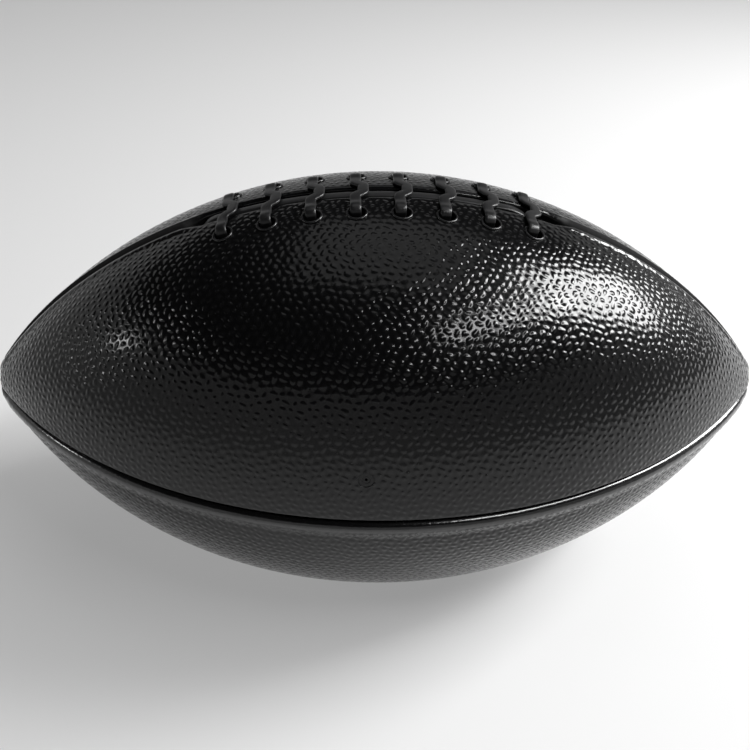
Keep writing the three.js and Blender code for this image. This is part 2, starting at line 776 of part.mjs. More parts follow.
quarterNames.forEach((name, quarter) => {
  const panel = quarterLoft(panelSection, quarter, stations);
  const lining = quarterLoft(liningSection, quarter, flankStations);
  addPiece(`panel_${name}`, cut(panel, panelTools[quarter]), 'panel');
  addPiece(`lining_${name}`, cut(lining, liningTools[quarter]), 'lining');
});

addPiece('bladder', bladder, 'bladder');
addPiece('lace_guard', guard, 'guard');
addPiece('lace', lace, 'lace');

const beforeSlot = stations.filter((station) => station <= slotAngles[0]);
const afterSlot = stations.filter((station) => station >= slotAngles[3]);
addPiece('thread_top_left', thread(0, beforeSlot), 'thread');
addPiece('thread_top_right', thread(0, afterSlot), 'thread');
addPiece('thread_near', thread(1, stations), 'thread');
addPiece('thread_bottom', thread(2, stations), 'thread');
addPiece('thread_far', thread(3, stations), 'thread');

nearEyelets.forEach(({ station, turn }, i) => {
  addOnSurface(`eyelet_near_${i + 1}`, eyelet, 'eyelet', station, turn);
});
farEyelets.forEach(({ station, turn }, i) => {
  addOnSurface(`eyelet_far_${i + 1}`, eyelet, 'eyelet', station, turn);
});

addOnSurface('valve_body', valveBody, 'valve', valveStation, valveTurn);
addOnSurface('valve_plug', plug, 'valve', valveStation, valveTurn);

const football = new THREE.Group();
football.add(ball);

export default football;
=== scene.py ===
"""An american football: four pebbled panels over a lined bladder, laced along the top seam.

The ball lies on z = 0 with its tips along X and its laces on top. Lengths are in metres.
"""

import math
from typing import NamedTuple

import bmesh
import bpy
import numpy as np
from bpy.props import FloatProperty, FloatVectorProperty, IntProperty, PointerProperty
from bpy.types import Operator, Panel, PropertyGroup
from mathutils import Matrix, Quaternion, Vector


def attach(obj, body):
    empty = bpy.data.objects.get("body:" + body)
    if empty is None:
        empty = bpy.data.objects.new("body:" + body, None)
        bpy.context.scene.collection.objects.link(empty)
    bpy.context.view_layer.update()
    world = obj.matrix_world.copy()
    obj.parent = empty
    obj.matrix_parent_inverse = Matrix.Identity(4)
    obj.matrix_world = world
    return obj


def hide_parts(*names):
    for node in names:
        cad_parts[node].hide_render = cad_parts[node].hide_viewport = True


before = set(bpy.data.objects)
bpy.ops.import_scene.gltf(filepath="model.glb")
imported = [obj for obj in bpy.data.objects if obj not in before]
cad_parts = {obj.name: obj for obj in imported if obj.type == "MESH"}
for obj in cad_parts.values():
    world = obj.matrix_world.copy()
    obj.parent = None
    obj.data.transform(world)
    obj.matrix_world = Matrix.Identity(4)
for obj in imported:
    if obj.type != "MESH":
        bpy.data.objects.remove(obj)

bl_info = {
    "name": "American Football",
    "version": (1, 0, 0),
    "blender": (4, 5, 0),
    "location": "3D View > Sidebar > Football",
    "description": "Makes a pebbled, laced ball piece by piece",
    "category": "Add Mesh",
}

MM = 0.001
QUARTER_TURN = math.pi / 2
QUARTERS = ("near_upper", "near_lower", "far_lower", "far_upper")
LOWER_QUARTERS = (1, 2)
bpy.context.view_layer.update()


# Settings in the sidebar


def millimetres(name, value, description):
    """A length, written here in millimetres and kept in metres."""
    return FloatProperty(name=name, description=description, default=value * MM, unit="LENGTH", precision=4)


def colour(name, value, description):
    return FloatVectorProperty(
        name=name, description=description, default=value, subtype="COLOR", size=3, min=0, max=1
    )


def share(name, value, description):
    return FloatProperty(name=name, description=description, default=value, subtype="FACTOR", min=0, max=1)


def pixels(name, value, description):
    return FloatProperty(name=name, description=description, default=value, subtype="PIXEL")


def degrees(name, value, description):
    return FloatProperty(
        name=name, description=description, default=math.radians(value), subtype="ANGLE", unit="ROTATION"
    )


class BallSizes(PropertyGroup):
    """The outer form, the cover and the bladder."""

    length: millimetres("Length", 280, "From tip to tip")
    diameter: millimetres("Diameter", 151, "Across the middle")
    nose_radius: millimetres("Nose radius", 15, "Rounding of the tips")
    tip_radius: millimetres("Tip opening", 0.9, "Radius at which the four panels stop at a tip")
    rest_depth: millimetres("Rest depth", 0.5, "How far the underside is pressed flat")
    panel_thickness: millimetres("Panel thickness", 2.2, "Of the leather")
    lip_radius: millimetres("Lip radius", 3, "Rounding of a panel's edge into a plain seam")
    upper_lip: millimetres("Upper lip", 1.2, "Rounding of an upper panel's lower edge")
    welt: millimetres("Welt", 1, "How far a lower panel's upper edge stands proud")
    welt_width: millimetres("Welt width", 4, "Over which a lower panel rises to its upper edge")
    bead: millimetres("Bead", 0.55, "How far the panels' edges stand proud at the top seam")
    bead_width: millimetres("Bead width", 2, "Over which a panel rises to its bead")
    flange: millimetres("Flange", 2.4, "Width of the edge turned in at a seam")
    lining_thickness: millimetres("Lining thickness", 1.2, "Of the fabric behind a panel")
    bladder_wall: millimetres("Bladder wall", 0.8, "Thickness of the rubber")
    thread_diameter: millimetres("Thread diameter", 0.6, "Of the seam thread")
    seam_room: millimetres("Seam room", 0.05, "Between the seam thread and each lip")
    clearance: millimetres("Clearance", 0.3, "Between layers under the cover")
    pebble_pitch: millimetres("Pebble pitch", 2.7, "From one pebble to the next")
    pebble_height: millimetres("Pebble height", 0.08, "Of the pebbles in the mesh")
    pebble_bump: millimetres("Pebble bump", 0.13, "Of the pebbles in the finish, on top of the mesh")
    pebble_margin: millimetres("Pebble margin", 0.8, "Over which the pebbles rise beside a seam")


class LacingSizes(PropertyGroup):
    """The lace, its eyelets, the slot and the guard under it."""

    rows: IntProperty(name="Rows", description="Crossings of the lace", default=8, min=2)
    pitch: millimetres("Row pitch", 14.2, "From one crossing to the next")
    shift: millimetres("Shift", -1.6, "Of the lacing's middle along the ball")
    eyelet_offset: millimetres("Eyelet offset", 13.7, "From the seam to an eyelet")
    width: millimetres("Lace width", 3.6, "Across the flat lace")
    thickness: millimetres("Lace thickness", 1.3, "Through the flat lace")
    bend: millimetres("Bend", 1.9, "Radius of the lace into an eyelet")
    turn: millimetres("Turn", 4.5, "Radius of the corner inside")
    jog: millimetres("Jog", 2.4, "Of a crossing along the ball, over the slot")
    pull: millimetres("Pull", 0.3, "Of the lace off the middle of an eyelet, towards the slot")
    lean: millimetres("Lean", -0.35, "Of the lace off the middle of an eyelet, along the ball")
    tail: millimetres("Tail", 7, "Loose end inside")
    seat: millimetres("Seat", 0.12, "Room under the lace")
    inside_gap: millimetres("Inside gap", 0.5, "Round the runs of lace inside")
    strip_rise: millimetres("Strip rise", -0.1, "Of the lengthways strip out of the slot")
    strip_offset: millimetres("Strip offset", -1.3, "Of the strip across the slot")
    slot_width: millimetres("Slot width", 6.8, "Between the panels under the lacing")
    slot_overrun: millimetres("Slot overrun", 8.5, "Of the slot past the last rows")
    slot_taper: millimetres("Slot taper", 7, "Length of the slot's narrowing")
    slot_lip: millimetres("Slot lip", 1.5, "Rounding of a panel's edge into the slot")
    eyelet_room: millimetres("Eyelet room", 0.9, "Beside the lace in an eyelet")
    eyelet_wall: millimetres("Eyelet wall", 0.35, "Of an eyelet's barrel")
    rim: millimetres("Rim", 0.45, "Reach of an eyelet's rim past its barrel")
    rim_height: millimetres("Rim height", 0.55, "Of an eyelet's rim over the panel")
    foot: millimetres("Foot", 0.5, "Height of an eyelet's spread foot")
    smooth_margin: millimetres("Smooth margin", 1.5, "Of the smoother leather past the eyelets")
    smooth_fade: millimetres("Smooth fade", 5, "Over which the pebbles rise beside the lacing")
    guard_thickness: millimetres("Guard thickness", 1, "Of the strip under the lacing")
    guard_overlap: millimetres("Guard overlap", 1.5, "Of the guard past the eyelets")
    dent_margin: millimetres("Dent margin", 8, "Of the bladder's dent past the guard")
    dent_fade: millimetres("Dent fade", 14, "Slope at the edge of the dent")


class ValveSizes(PropertyGroup):
    """The valve low on the near upper panel."""

    place: millimetres("Place", -6, "Along the ball")
    above_seam: millimetres("Above seam", 16.5, "From the near seam")
    stem: millimetres("Stem", 4.8, "Diameter where it shows")
    recess: millimetres("Recess", 0.1, "Below the leather")
    flange: millimetres("Flange", 10, "Diameter of the flange in the bladder")
    flange_depth: millimetres("Flange depth", 6.8, "Of the flange below the leather")
    flange_thickness: millimetres("Flange thickness", 1, "Of the flange in the bladder")
    barrel: millimetres("Barrel", 6.4, "Diameter of the inner end")
    barrel_length: millimetres("Barrel length", 6, "Of the inner end")
    plug: millimetres("Plug", 2.4, "Diameter of the plug")
    plug_recess: millimetres("Plug recess", 0.1, "Of the plug below the stem")
    needle_hole: millimetres("Needle hole", 0.9, "Diameter of the hole in the plug")
    needle_depth: millimetres("Needle depth", 9, "Of the hole in the plug")


class FinishColours(PropertyGroup):
    """Colours and gloss of the finishes."""

    leather: colour("Leather", (0.005, 0.005, 0.0053), "Tops of the pebbles")
    # Painted shade: a darker colour for the valleys between the pebbles, where shade falls
    leather_valley: colour("Leather valley", (0.0025, 0.0025, 0.0027), "Between the pebbles")
    leather_roughness: share("Leather roughness", 0.15, "Of the leather")
    leather_specular: share("Leather specular", 0.33, "Strength of the leather's reflections")
    lip_gloss: share("Lip gloss", 1, "Of the leather that is stretched over a lip")
    lip_roughness: share("Lip roughness", 0.18, "Of that gloss")
    dull_roughness: share("Dull roughness", 0.8, "Added where the leather is left unpolished in the top seam")
    lace: colour("Lace", (0.009, 0.009, 0.0095), "Of the flat lace")
    lace_roughness: share("Lace roughness", 0.34, "Of the flat lace")
    eyelet: colour("Eyelet", (0.007, 0.007, 0.0075), "Of the moulded eyelets")
    eyelet_roughness: share("Eyelet roughness", 0.22, "Of the moulded eyelets")
    lining: colour("Lining", (0.03, 0.03, 0.032), "Of the woven lining")
    lining_roughness: share("Lining roughness", 0.85, "Of the woven lining")
    bladder: colour("Bladder", (0.012, 0.012, 0.012), "Of the rubber bladder")
    bladder_roughness: share("Bladder roughness", 0.5, "Of the rubber bladder")
    guard: colour("Guard", (0.012, 0.0115, 0.011), "Of the guard strip")
    guard_roughness: share("Guard roughness", 0.75, "Of the guard strip")
    thread: colour("Thread", (0.006, 0.006, 0.006), "Of the seam thread")
    thread_roughness: share("Thread roughness", 0.5, "Of the seam thread")
    valve: colour("Valve", (0.004, 0.004, 0.004), "Of the valve's rubber")
    valve_roughness: share("Valve roughness", 0.55, "Of the valve's rubber")
    floor: colour("Floor", (0.67, 0.67, 0.67), "Of the studio floor")
    floor_roughness: share("Floor roughness", 0.9, "Of the studio floor")


class StageSettings(PropertyGroup):
    """The camera, as it stood for the photograph, and the studio."""

    distance: millimetres("Distance", 326.5, "From the ball's centre to the camera")
    elevation: degrees("Elevation", 36.606, "Of the camera above the horizon")
    yaw: degrees("Yaw", -2.233, "Of the camera round the ball")
    roll: degrees("Roll", 1.356, "Of the camera about its axis")
    image: pixels("Image", 750, "Side of the square image")
    focal: pixels("Focal length", 864.835, "Of the camera, in pixels of the image")
    middle_x: pixels("Middle X", 379.144, "Of the camera's axis, from the image's left side")
    middle_y: pixels("Middle Y", 376.812, "Of the camera's axis, from the image's top")
    floor_radius: millimetres("Floor radius", 2400, "Of the level floor")
    sweep_radius: millimetres("Sweep radius", 600, "Of the curve from the floor into the wall")
    wall_height: millimetres("Wall height", 1600, "Of the wall all round")
    lift: share("Background lift", 0.3, "Of the floor towards white where it is seen")
    lamp_distance: millimetres("Lamp distance", 1100, "From the ball to each lamp")
    world: share("World", 0.02, "Strength of the even light from all round")


def lamp_settings(name, turn, rise, roll, size, power):
    """A group of settings for one lamp: degrees, millimetres and watts are its defaults."""
    settings = {
        "turn": degrees("Turn", turn, "From the camera's side to the right"),
        "rise": degrees("Rise", rise, "Above the horizon"),
        "roll": degrees("Roll", roll, "About the way it shines"),
        "width": millimetres("Width", size[0], "Of the lamp"),
        "height": millimetres("Height", size[1], "Of the lamp"),
        "power": FloatProperty(name="Power", description="Of the lamp", default=power, min=0, unit="POWER"),
    }
    return type(name, (PropertyGroup,), {"__annotations__": settings})


KeyLamp = lamp_settings("KeyLamp", turn=102.5, rise=36.8, roll=24, size=(410, 640), power=19)
FrontLamp = lamp_settings("FrontLamp", turn=66, rise=53, roll=-16, size=(880, 110), power=5.3)
TopLamp = lamp_settings("TopLamp", turn=170, rise=76, roll=0, size=(800, 800), power=1.2)
SideLamp = lamp_settings("SideLamp", turn=-86, rise=23, roll=0, size=(120, 80), power=0.5)
LAMPS = ("key_lamp", "front_lamp", "top_lamp", "side_lamp")


class FootballSettings(PropertyGroup):
    """All settings of the ball and its stage."""

    ball: PointerProperty(type=BallSizes, name="Ball", description="Outer form, cover and bladder")
    lacing: PointerProperty(type=LacingSizes, name="Lacing", description="Lace, eyelets, slot and guard")
    valve: PointerProperty(type=ValveSizes, name="Valve", description="Stem and plug")
    finish: PointerProperty(type=FinishColours, name="Finish", description="Colours and gloss")
    stage: PointerProperty(type=StageSettings, name="Stage", description="Camera and studio")
    key_lamp: PointerProperty(type=KeyLamp, name="Key lamp", description="At the highlight's side")
    front_lamp: PointerProperty(type=FrontLamp, name="Front lamp", description="For the middle's sheen")
    top_lamp: PointerProperty(type=TopLamp, name="Top lamp", description="Soft light from above")
    side_lamp: PointerProperty(type=SideLamp, name="Side lamp", description="Weak, for glints at the left")


# The ball's form

# Towards the tips each size shrinks: a lip, flange, welt or whole edge to a share of its half of a panel,
# and an opening, thread, depth or thickness to a share of the radius or depth there.
LIP_SHARE = 0.5
FLANGE_SHARE = 0.6
WELT_SHARE = 0.12
EDGE_SHARE = 0.4
OPENING_SHARE = 0.3
THREAD_SHARE = 0.4
THREAD_DEPTH_SHARE = 0.8
COVER_SHARE = 0.9
PANEL_SHARE = 0.6

# Room between the cover and an eyelet's foot, in clearances
FOOT_CLEARANCES = 3


def smooth_step(value, low, high):
    eased = np.clip((value - low) / (high - low), 0, 1)
    return eased * eased * (3 - 2 * eased)


def blend(first, second, part):
    """From the first value to the second one as part goes from 0 to 1, in numbers or shader sockets."""
    return first * (1 - part) + second * part


def laced(seam):
    """Whether a seam is the laced one on top. From there 1 is the near one, 2 at the bottom and 3 far."""
    return seam % len(QUARTERS) == 0


class Edge(NamedTuple):
    """Sizes of a panel's edge at a seam, and the widths over which its welt and its pebbles rise."""

    seam: int
    opening: np.ndarray
    lip: np.ndarray
    welt: np.ndarray
    welt_width: float
    pebble_margin: float


class Form:
    """The ball's surface and the places on it.

    The meridian is a flank arc with a small arc at each nose. A station is the angle of the outward
    normal from the upright, turn is the angle round X from the laced seam towards the near side, and
    height is measured out along the normal.
    """

    def __init__(self, settings):
        ball = settings.ball
        lacing = settings.lacing
        radius = ball.diameter / 2
        self.ball = ball
        self.lacing = lacing
        self.nose = ball.nose_radius
        self.nose_x = ball.length / 2 - self.nose
        self.flank = (self.nose_x**2 + radius**2 - self.nose**2) / (2 * (radius - self.nose))
        self.drop = self.flank - radius
        self.nose_angle = math.atan2(self.nose_x, self.drop)
        self.tip_angle = math.acos(ball.tip_radius / self.nose)
        self.centre = radius - ball.rest_depth
        self.seam_half = ball.thread_diameter / 2 + ball.seam_room
        self.lining_top = ball.panel_thickness + ball.clearance
        self.cover_depth = self.lining_top + ball.lining_thickness
        self.bladder_depth = self.cover_depth + ball.clearance
        self.eyelet_bore = lacing.width / 2 + lacing.eyelet_room
        self.eyelet_barrel = self.eyelet_bore + lacing.eyelet_wall
        self.eyelet_edge = self.eyelet_barrel + lacing.rim
        self.foot_top = -self.cover_depth - FOOT_CLEARANCES * ball.clearance
        self.lacing_half = lacing.pitch * (lacing.rows - 1) / 2
        self.slot_flat = self.lacing_half + lacing.slot_overrun
        self.slot_end = self.slot_flat + lacing.slot_taper
        self.lace_side = lacing.eyelet_offset - lacing.pull
        self.lace_inside = self.foot_top - lacing.foot - lacing.inside_gap - lacing.thickness / 2
        self.guard_top = self.lace_inside - lacing.thickness / 2 - lacing.inside_gap
        self.guard_half_length = self.slot_end + lacing.slot_taper
        self.guard_half_width = lacing.eyelet_offset + lacing.guard_overlap

    def meridian(self, station, height):
        """Place along X, and distance from the ball's axis."""
        on_nose = np.abs(station) > self.nose_angle
        reach = np.where(on_nose, self.nose, self.flank) + height
        middle_x = np.where(on_nose, np.sign(station) * self.nose_x, 0)
        middle_r = np.where(on_nose, 0, -self.drop)
        return middle_x + reach * np.sin(station), middle_r + reach * np.cos(station)

    def point(self, station, turn, height):
        x, r = np.broadcast_arrays(*self.meridian(station, height))
        x, r, turn = np.broadcast_arrays(x, r, turn)
        return np.stack([x, -r * np.sin(turn), self.centre + r * np.cos(turn)], axis=-1)

    def normal(self, station, turn):
        out = np.cos(station)
        return np.array([math.sin(station), -out * math.sin(turn), out * math.cos(turn)])

    def run(self, station, height=0):
        """Distance along the meridian from the middle."""
        on_flank = np.clip(station, -self.nose_angle, self.nose_angle)
        return self.flank * on_flank + self.nose * (station - on_flank) + height * station

    def stations(self, count, first, last):
        """Stations at even distances along the meridian, as a column."""
        ends = np.unique(np.clip([first, -self.nose_angle, self.nose_angle, last], first, last))
        runs = self.run(ends)
        return np.interp(np.linspace(runs[0], runs[-1], count), runs, ends)[:, None]

    def station_at(self, x):
        return np.arcsin(x / self.flank)

    def lacing_place(self, x, y):
        """Station and turn of a place over the lacing, y being positive away from the near side."""
        station = self.station_at(x + self.lacing.shift)
        return station, -y / self.meridian(station, 0)[1]

    def narrowing(self, station):
        """From 0 along the slot to 1 past its ends."""
        past = np.abs(self.meridian(station, 0)[0] - self.lacing.shift) - self.slot_flat
        return np.clip(past / self.lacing.slot_taper, 0, 1)

    def seam_opening(self, seam, station):
        """Half the opening between two panels. It closes towards the tips and widens into the slot."""
        plain = np.minimum(self.seam_half, OPENING_SHARE * self.meridian(station, -self.cover_depth)[1])
        if not laced(seam):
            return plain
        return blend(self.lacing.slot_width / 2, plain, self.narrowing(station))

    def lip(self, quarter, seam, station):
        """Rounding of a panel into a seam, smaller along the slot and on an upper panel's lower edge."""
        if seam % 2:
            return self.ball.lip_radius if quarter in LOWER_QUARTERS else self.ball.upper_lip
        narrowing = self.narrowing(station) if laced(seam) else 1
        return blend(self.lacing.slot_lip, self.ball.lip_radius, narrowing)

    def welt(self, quarter, seam, station):
        """How far a panel's edge stands proud at a seam, and over what widths it and its pebbles rise."""
        ball = self.ball
        if laced(seam):
            return ball.bead * self.narrowing(station), ball.bead_width, ball.bead_width
        proud = seam % 2 and quarter in LOWER_QUARTERS
        return ball.welt if proud else 0, ball.welt_width, ball.pebble_margin

    def edge_sizes(self, quarter, station):
        """A panel's two edges, and the width of its flange."""
        seams = (quarter, quarter + 1)
        openings = [self.seam_opening(seam, station) for seam in seams]
        room = (QUARTER_TURN * self.meridian(station, -self.cover_depth)[1] - sum(openings)) / 2
        edges = []
        for seam, opening in zip(seams, openings):
            lip = np.minimum(self.lip(quarter, seam, station), LIP_SHARE * room)
            welt, *widths = self.welt(quarter, seam, station)
            edges.append(Edge(seam, opening, lip, np.minimum(welt, WELT_SHARE * room), *widths))
        return edges, np.minimum(self.ball.flange, FLANGE_SHARE * room)

    def turn_beside(self, distance, station, height):
        """Angle from a seam's plane to a line beside it, kept short of the panel's middle."""
        r = self.meridian(station, height)[1]
        return np.minimum(np.arcsin(np.minimum(distance / r, 1)), EDGE_SHARE * QUARTER_TURN)

    def flat_place(self, station, turn, height=0):
        """Where a point of a panel or lining lies on the flat material that it was cut from."""
        across = self.meridian(station, height)[1] * turn
        swing = turn * np.sin(station)
        along = self.run(station, height) + across * np.sin(swing / 2) * np.sinc(swing / (2 * math.pi))
        return np.stack(np.broadcast_arrays(along, across * np.sinc(swing / math.pi)), axis=-1)

    def standing(self, station, turn):
        """Matrix of a turned piece that stands on the surface, its axis along the normal."""
        normal = Vector(self.normal(station, turn))
        upright = Vector((0, 0, 1)).rotation_difference(normal).to_matrix().to_4x4()
        return Matrix.Translation(self.point(station, turn, 0)) @ upright

    def rows(self):
        return [i * self.lacing.pitch - self.lacing_half for i in range(self.lacing.rows)]

    def eyelets(self, side):
        """Matrices of a row of eyelets, side being -1 for the near one and 1 for the far one."""
        places = [self.lacing_place(x, side * self.lacing.eyelet_offset) for x in self.rows()]
        return [self.standing(*place) for place in places]

    def valve(self, valve):
        """Matrix of the valve."""
        station = self.station_at(valve.place)
        return self.standing(station, QUARTER_TURN - valve.above_seam / self.meridian(station, 0)[1])


# Pebbles. The same formula shapes the mesh and the bump of the leather's finish. Places on the flat
# leather are in pebble pitches: two waves bend them, and the pebbles stand on a honeycomb.

BROAD_WAVE = 0.19
BROAD_TURNS = 1.07
FINE_WAVE = 0.12
FINE_TURNS = 2.5
WAVE_STARTS = (0.3, 1.1, 2.1, 4.2)
COMB = math.sqrt(3)
PEBBLE_RADIUS = 0.44
PEBBLE_SWELL = 0.05
SWELL_TURNS = (1.9, 1.3, 2.3, 0.8)
PANEL_SHIFT = 13.4
SMOOTHED = 0.25


def pebble_relief(along, across, sine, wrap, smaller):
    """Height from 0 between the pebbles to 1 on their tops. Numbers and shader sockets go through it."""
    bent_along = (
        along
        + sine(across * BROAD_TURNS + WAVE_STARTS[0]) * BROAD_WAVE
        + sine((along + across) * FINE_TURNS + WAVE_STARTS[1]) * FINE_WAVE
    )
    bent_across = (
        across
        + sine(along * BROAD_TURNS + WAVE_STARTS[2]) * BROAD_WAVE
        + sine((along - across) * FINE_TURNS + WAVE_STARTS[3]) * FINE_WAVE
    )
    near = wrap(bent_along, 1) ** 2 + wrap(bent_across, COMB) ** 2
    other = wrap(bent_along + 0.5, 1) ** 2 + wrap(bent_across + COMB / 2, COMB) ** 2
    first, second, third, fourth = SWELL_TURNS
    swell = sine(along * first + across * second) * sine(across * third - along * fourth) * PEBBLE_SWELL
    reach = smaller(near, other) / (swell + PEBBLE_RADIUS) ** 2
    return (1 - smaller(reach, 1)) ** 2


def wrapped_number(value, period):
    return (value + period / 2) % period - period / 2


def pebble_share(form, station, turn):
    """How far the pebbles stand up: the leather is smoother round the lacing."""
    lacing = form.lacing
    x, r = form.meridian(station, 0)
    across = np.abs(wrapped_number(turn, 2 * math.pi)) * r
    half_width = lacing.eyelet_offset + form.eyelet_edge + lacing.smooth_margin
    beside = smooth_step(across, half_width, half_width + lacing.smooth_fade)
    beyond = smooth_step(np.abs(x - lacing.shift), form.slot_flat, form.slot_flat + lacing.smooth_fade)
    return 1 - SMOOTHED * (1 - beside) * (1 - beyond)


# Mesh helpers

WELD = 1e-7
HOLE_SEGMENTS = 40


def smooth_outwards(bm):
    """Turns the faces of a new shape outwards and shades them smooth."""
    bmesh.ops.recalc_face_normals(bm, faces=bm.faces)
    for face in bm.faces:
        face.smooth = True
    return bm


def rolled_skin(rings, flat=None, taut=None):
    """A closed skin over rings of points: a grid is rolled up, welded along its edge and filled at its ends.

    flat gives each point's place on the flat material, and taut how far it is stretched smooth there,
    or left dull where it is negative. The finish reads both as attributes.
    """
    rows, columns = rings.shape[:2]
    bm = bmesh.new()
    bmesh.ops.create_grid(bm, x_segments=columns, y_segments=rows - 1, size=1)
    flat_layer = bm.verts.layers.float_vector.new("flat")
    taut_layer = bm.verts.layers.float.new("taut")
    joining = []
    for vert in bm.verts:
        column = round((vert.co.x + 1) / 2 * columns)
        row = round((vert.co.y + 1) / 2 * (rows - 1))
        vert.co = rings[row, column % columns]
        if flat is not None:
            vert[flat_layer] = flat[row, column % columns]
        if taut is not None:
            vert[taut_layer] = taut[row, column % columns]
        if column in (0, columns):
            joining.append(vert)
    bmesh.ops.remove_doubles(bm, verts=joining, dist=WELD)
    bmesh.ops.holes_fill(bm, edges=[edge for edge in bm.edges if edge.is_boundary], sides=0)
    return smooth_outwards(bm)


def flat_values(along, across, standing=0):
    """Values for rolled_skin's flat: the places along and across, and how far a relief stands there."""
    return np.stack(np.broadcast_arrays(along, across, standing), axis=-1)


def turned_shape(profile, matrix, segments, closed=True):
    """Turns a profile of radii and heights about an axis that stands on the surface."""
    bm = bmesh.new()
    verts = [bm.verts.new((radius, 0, height)) for radius, height in profile]
    pairs = list(zip(verts, verts[1:]))
    if closed:
        pairs.append((verts[-1], verts[0]))
    edges = [bm.edges.new(pair) for pair in pairs]
    bmesh.ops.spin(
        bm,
        geom=verts + edges,
        cent=(0, 0, 0),
        axis=(0, 0, 1),
        angle=2 * math.pi,
        steps=segments,
        use_merge=True,
    )
    bmesh.ops.remove_doubles(bm, verts=bm.verts, dist=WELD)
    bmesh.ops.transform(bm, matrix=matrix, verts=bm.verts)
    return smooth_outwards(bm)


def arc(centre, radius, start, end, steps):
    """Points of a profile on an arc, with angles in degrees."""
    angles = [math.radians(start + (end - start) * i / steps) for i in range(steps + 1)]
    return [
        (centre[0] + radius * math.cos(angle), centre[1] + radius * math.sin(angle)) for angle in angles
    ]


def add_object(name, bm, *finishes):
    mesh = bpy.data.meshes.new(name)
    bm.to_mesh(mesh)
    bm.free()
    for finish in finishes:
        mesh.materials.append(finish)
    made = bpy.data.objects.new(name, mesh)
    bpy.context.collection.objects.link(made)
    return made


def add_piece(name, bm, finish, slot, *nodes):
    """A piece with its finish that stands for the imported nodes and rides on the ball."""
    piece = add_object(name, bm, finish)
    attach(piece, "root")
    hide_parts(*nodes)
    return piece


def cut_holes(piece, matrices, radius, depth):
    """Round holes through a piece, each along its own axis."""
    bm = bmesh.new()
    for matrix in matrices:
        bmesh.ops.create_cone(
            bm,
            cap_ends=True,
            segments=HOLE_SEGMENTS,
            radius1=radius,
            radius2=radius,
            depth=depth,
            matrix=matrix,
        )
    tool = add_object("hole_tool", bm)
    tool_mesh = tool.data
    cut = piece.modifiers.new("holes", "BOOLEAN")
    cut.object = tool
    cut.operation = "DIFFERENCE"
    cut.solver = "MANIFOLD"
    bake_modifiers(piece)
    bpy.data.objects.remove(tool)
    bpy.data.meshes.remove(tool_mesh)


def bake_modifiers(piece):
    """The mesh that the modifiers make becomes the piece's own."""
    bpy.context.view_layer.update()
    plain = piece.data
    made = bpy.data.meshes.new_from_object(piece.evaluated_get(bpy.context.evaluated_depsgraph_get()))
    piece.modifiers.clear()
    piece.data = made
    bpy.data.meshes.remove(plain)


# Shader helpers


class Number:
    """A number socket that shader maths is written with."""

    def __init__(self, shader, socket):
        self.shader = shader
        self.socket = socket

    def __add__(self, other):
        return self.shader.maths("ADD", self, other)

    def __sub__(self, other):
        return self.shader.maths("SUBTRACT", self, other)

    def __rsub__(self, other):
        return self.shader.maths("SUBTRACT", other, self)

    def __mul__(self, other):
        return self.shader.maths("MULTIPLY", self, other)

    def __truediv__(self, other):
        return self.shader.maths("DIVIDE", self, other)

    def __rtruediv__(self, other):
        return self.shader.maths("DIVIDE", other, self)

    def __pow__(self, other):
        return self.shader.maths("POWER", self, other)

    def __rpow__(self, other):
        return self.shader.maths("POWER", other, self)

    __radd__ = __add__
    __rmul__ = __mul__


def varied(value, uneven, spread):
    """A value that uneven, from 0 to 1, moves up and down by half of spread."""
    return value + (uneven - 0.5) * spread


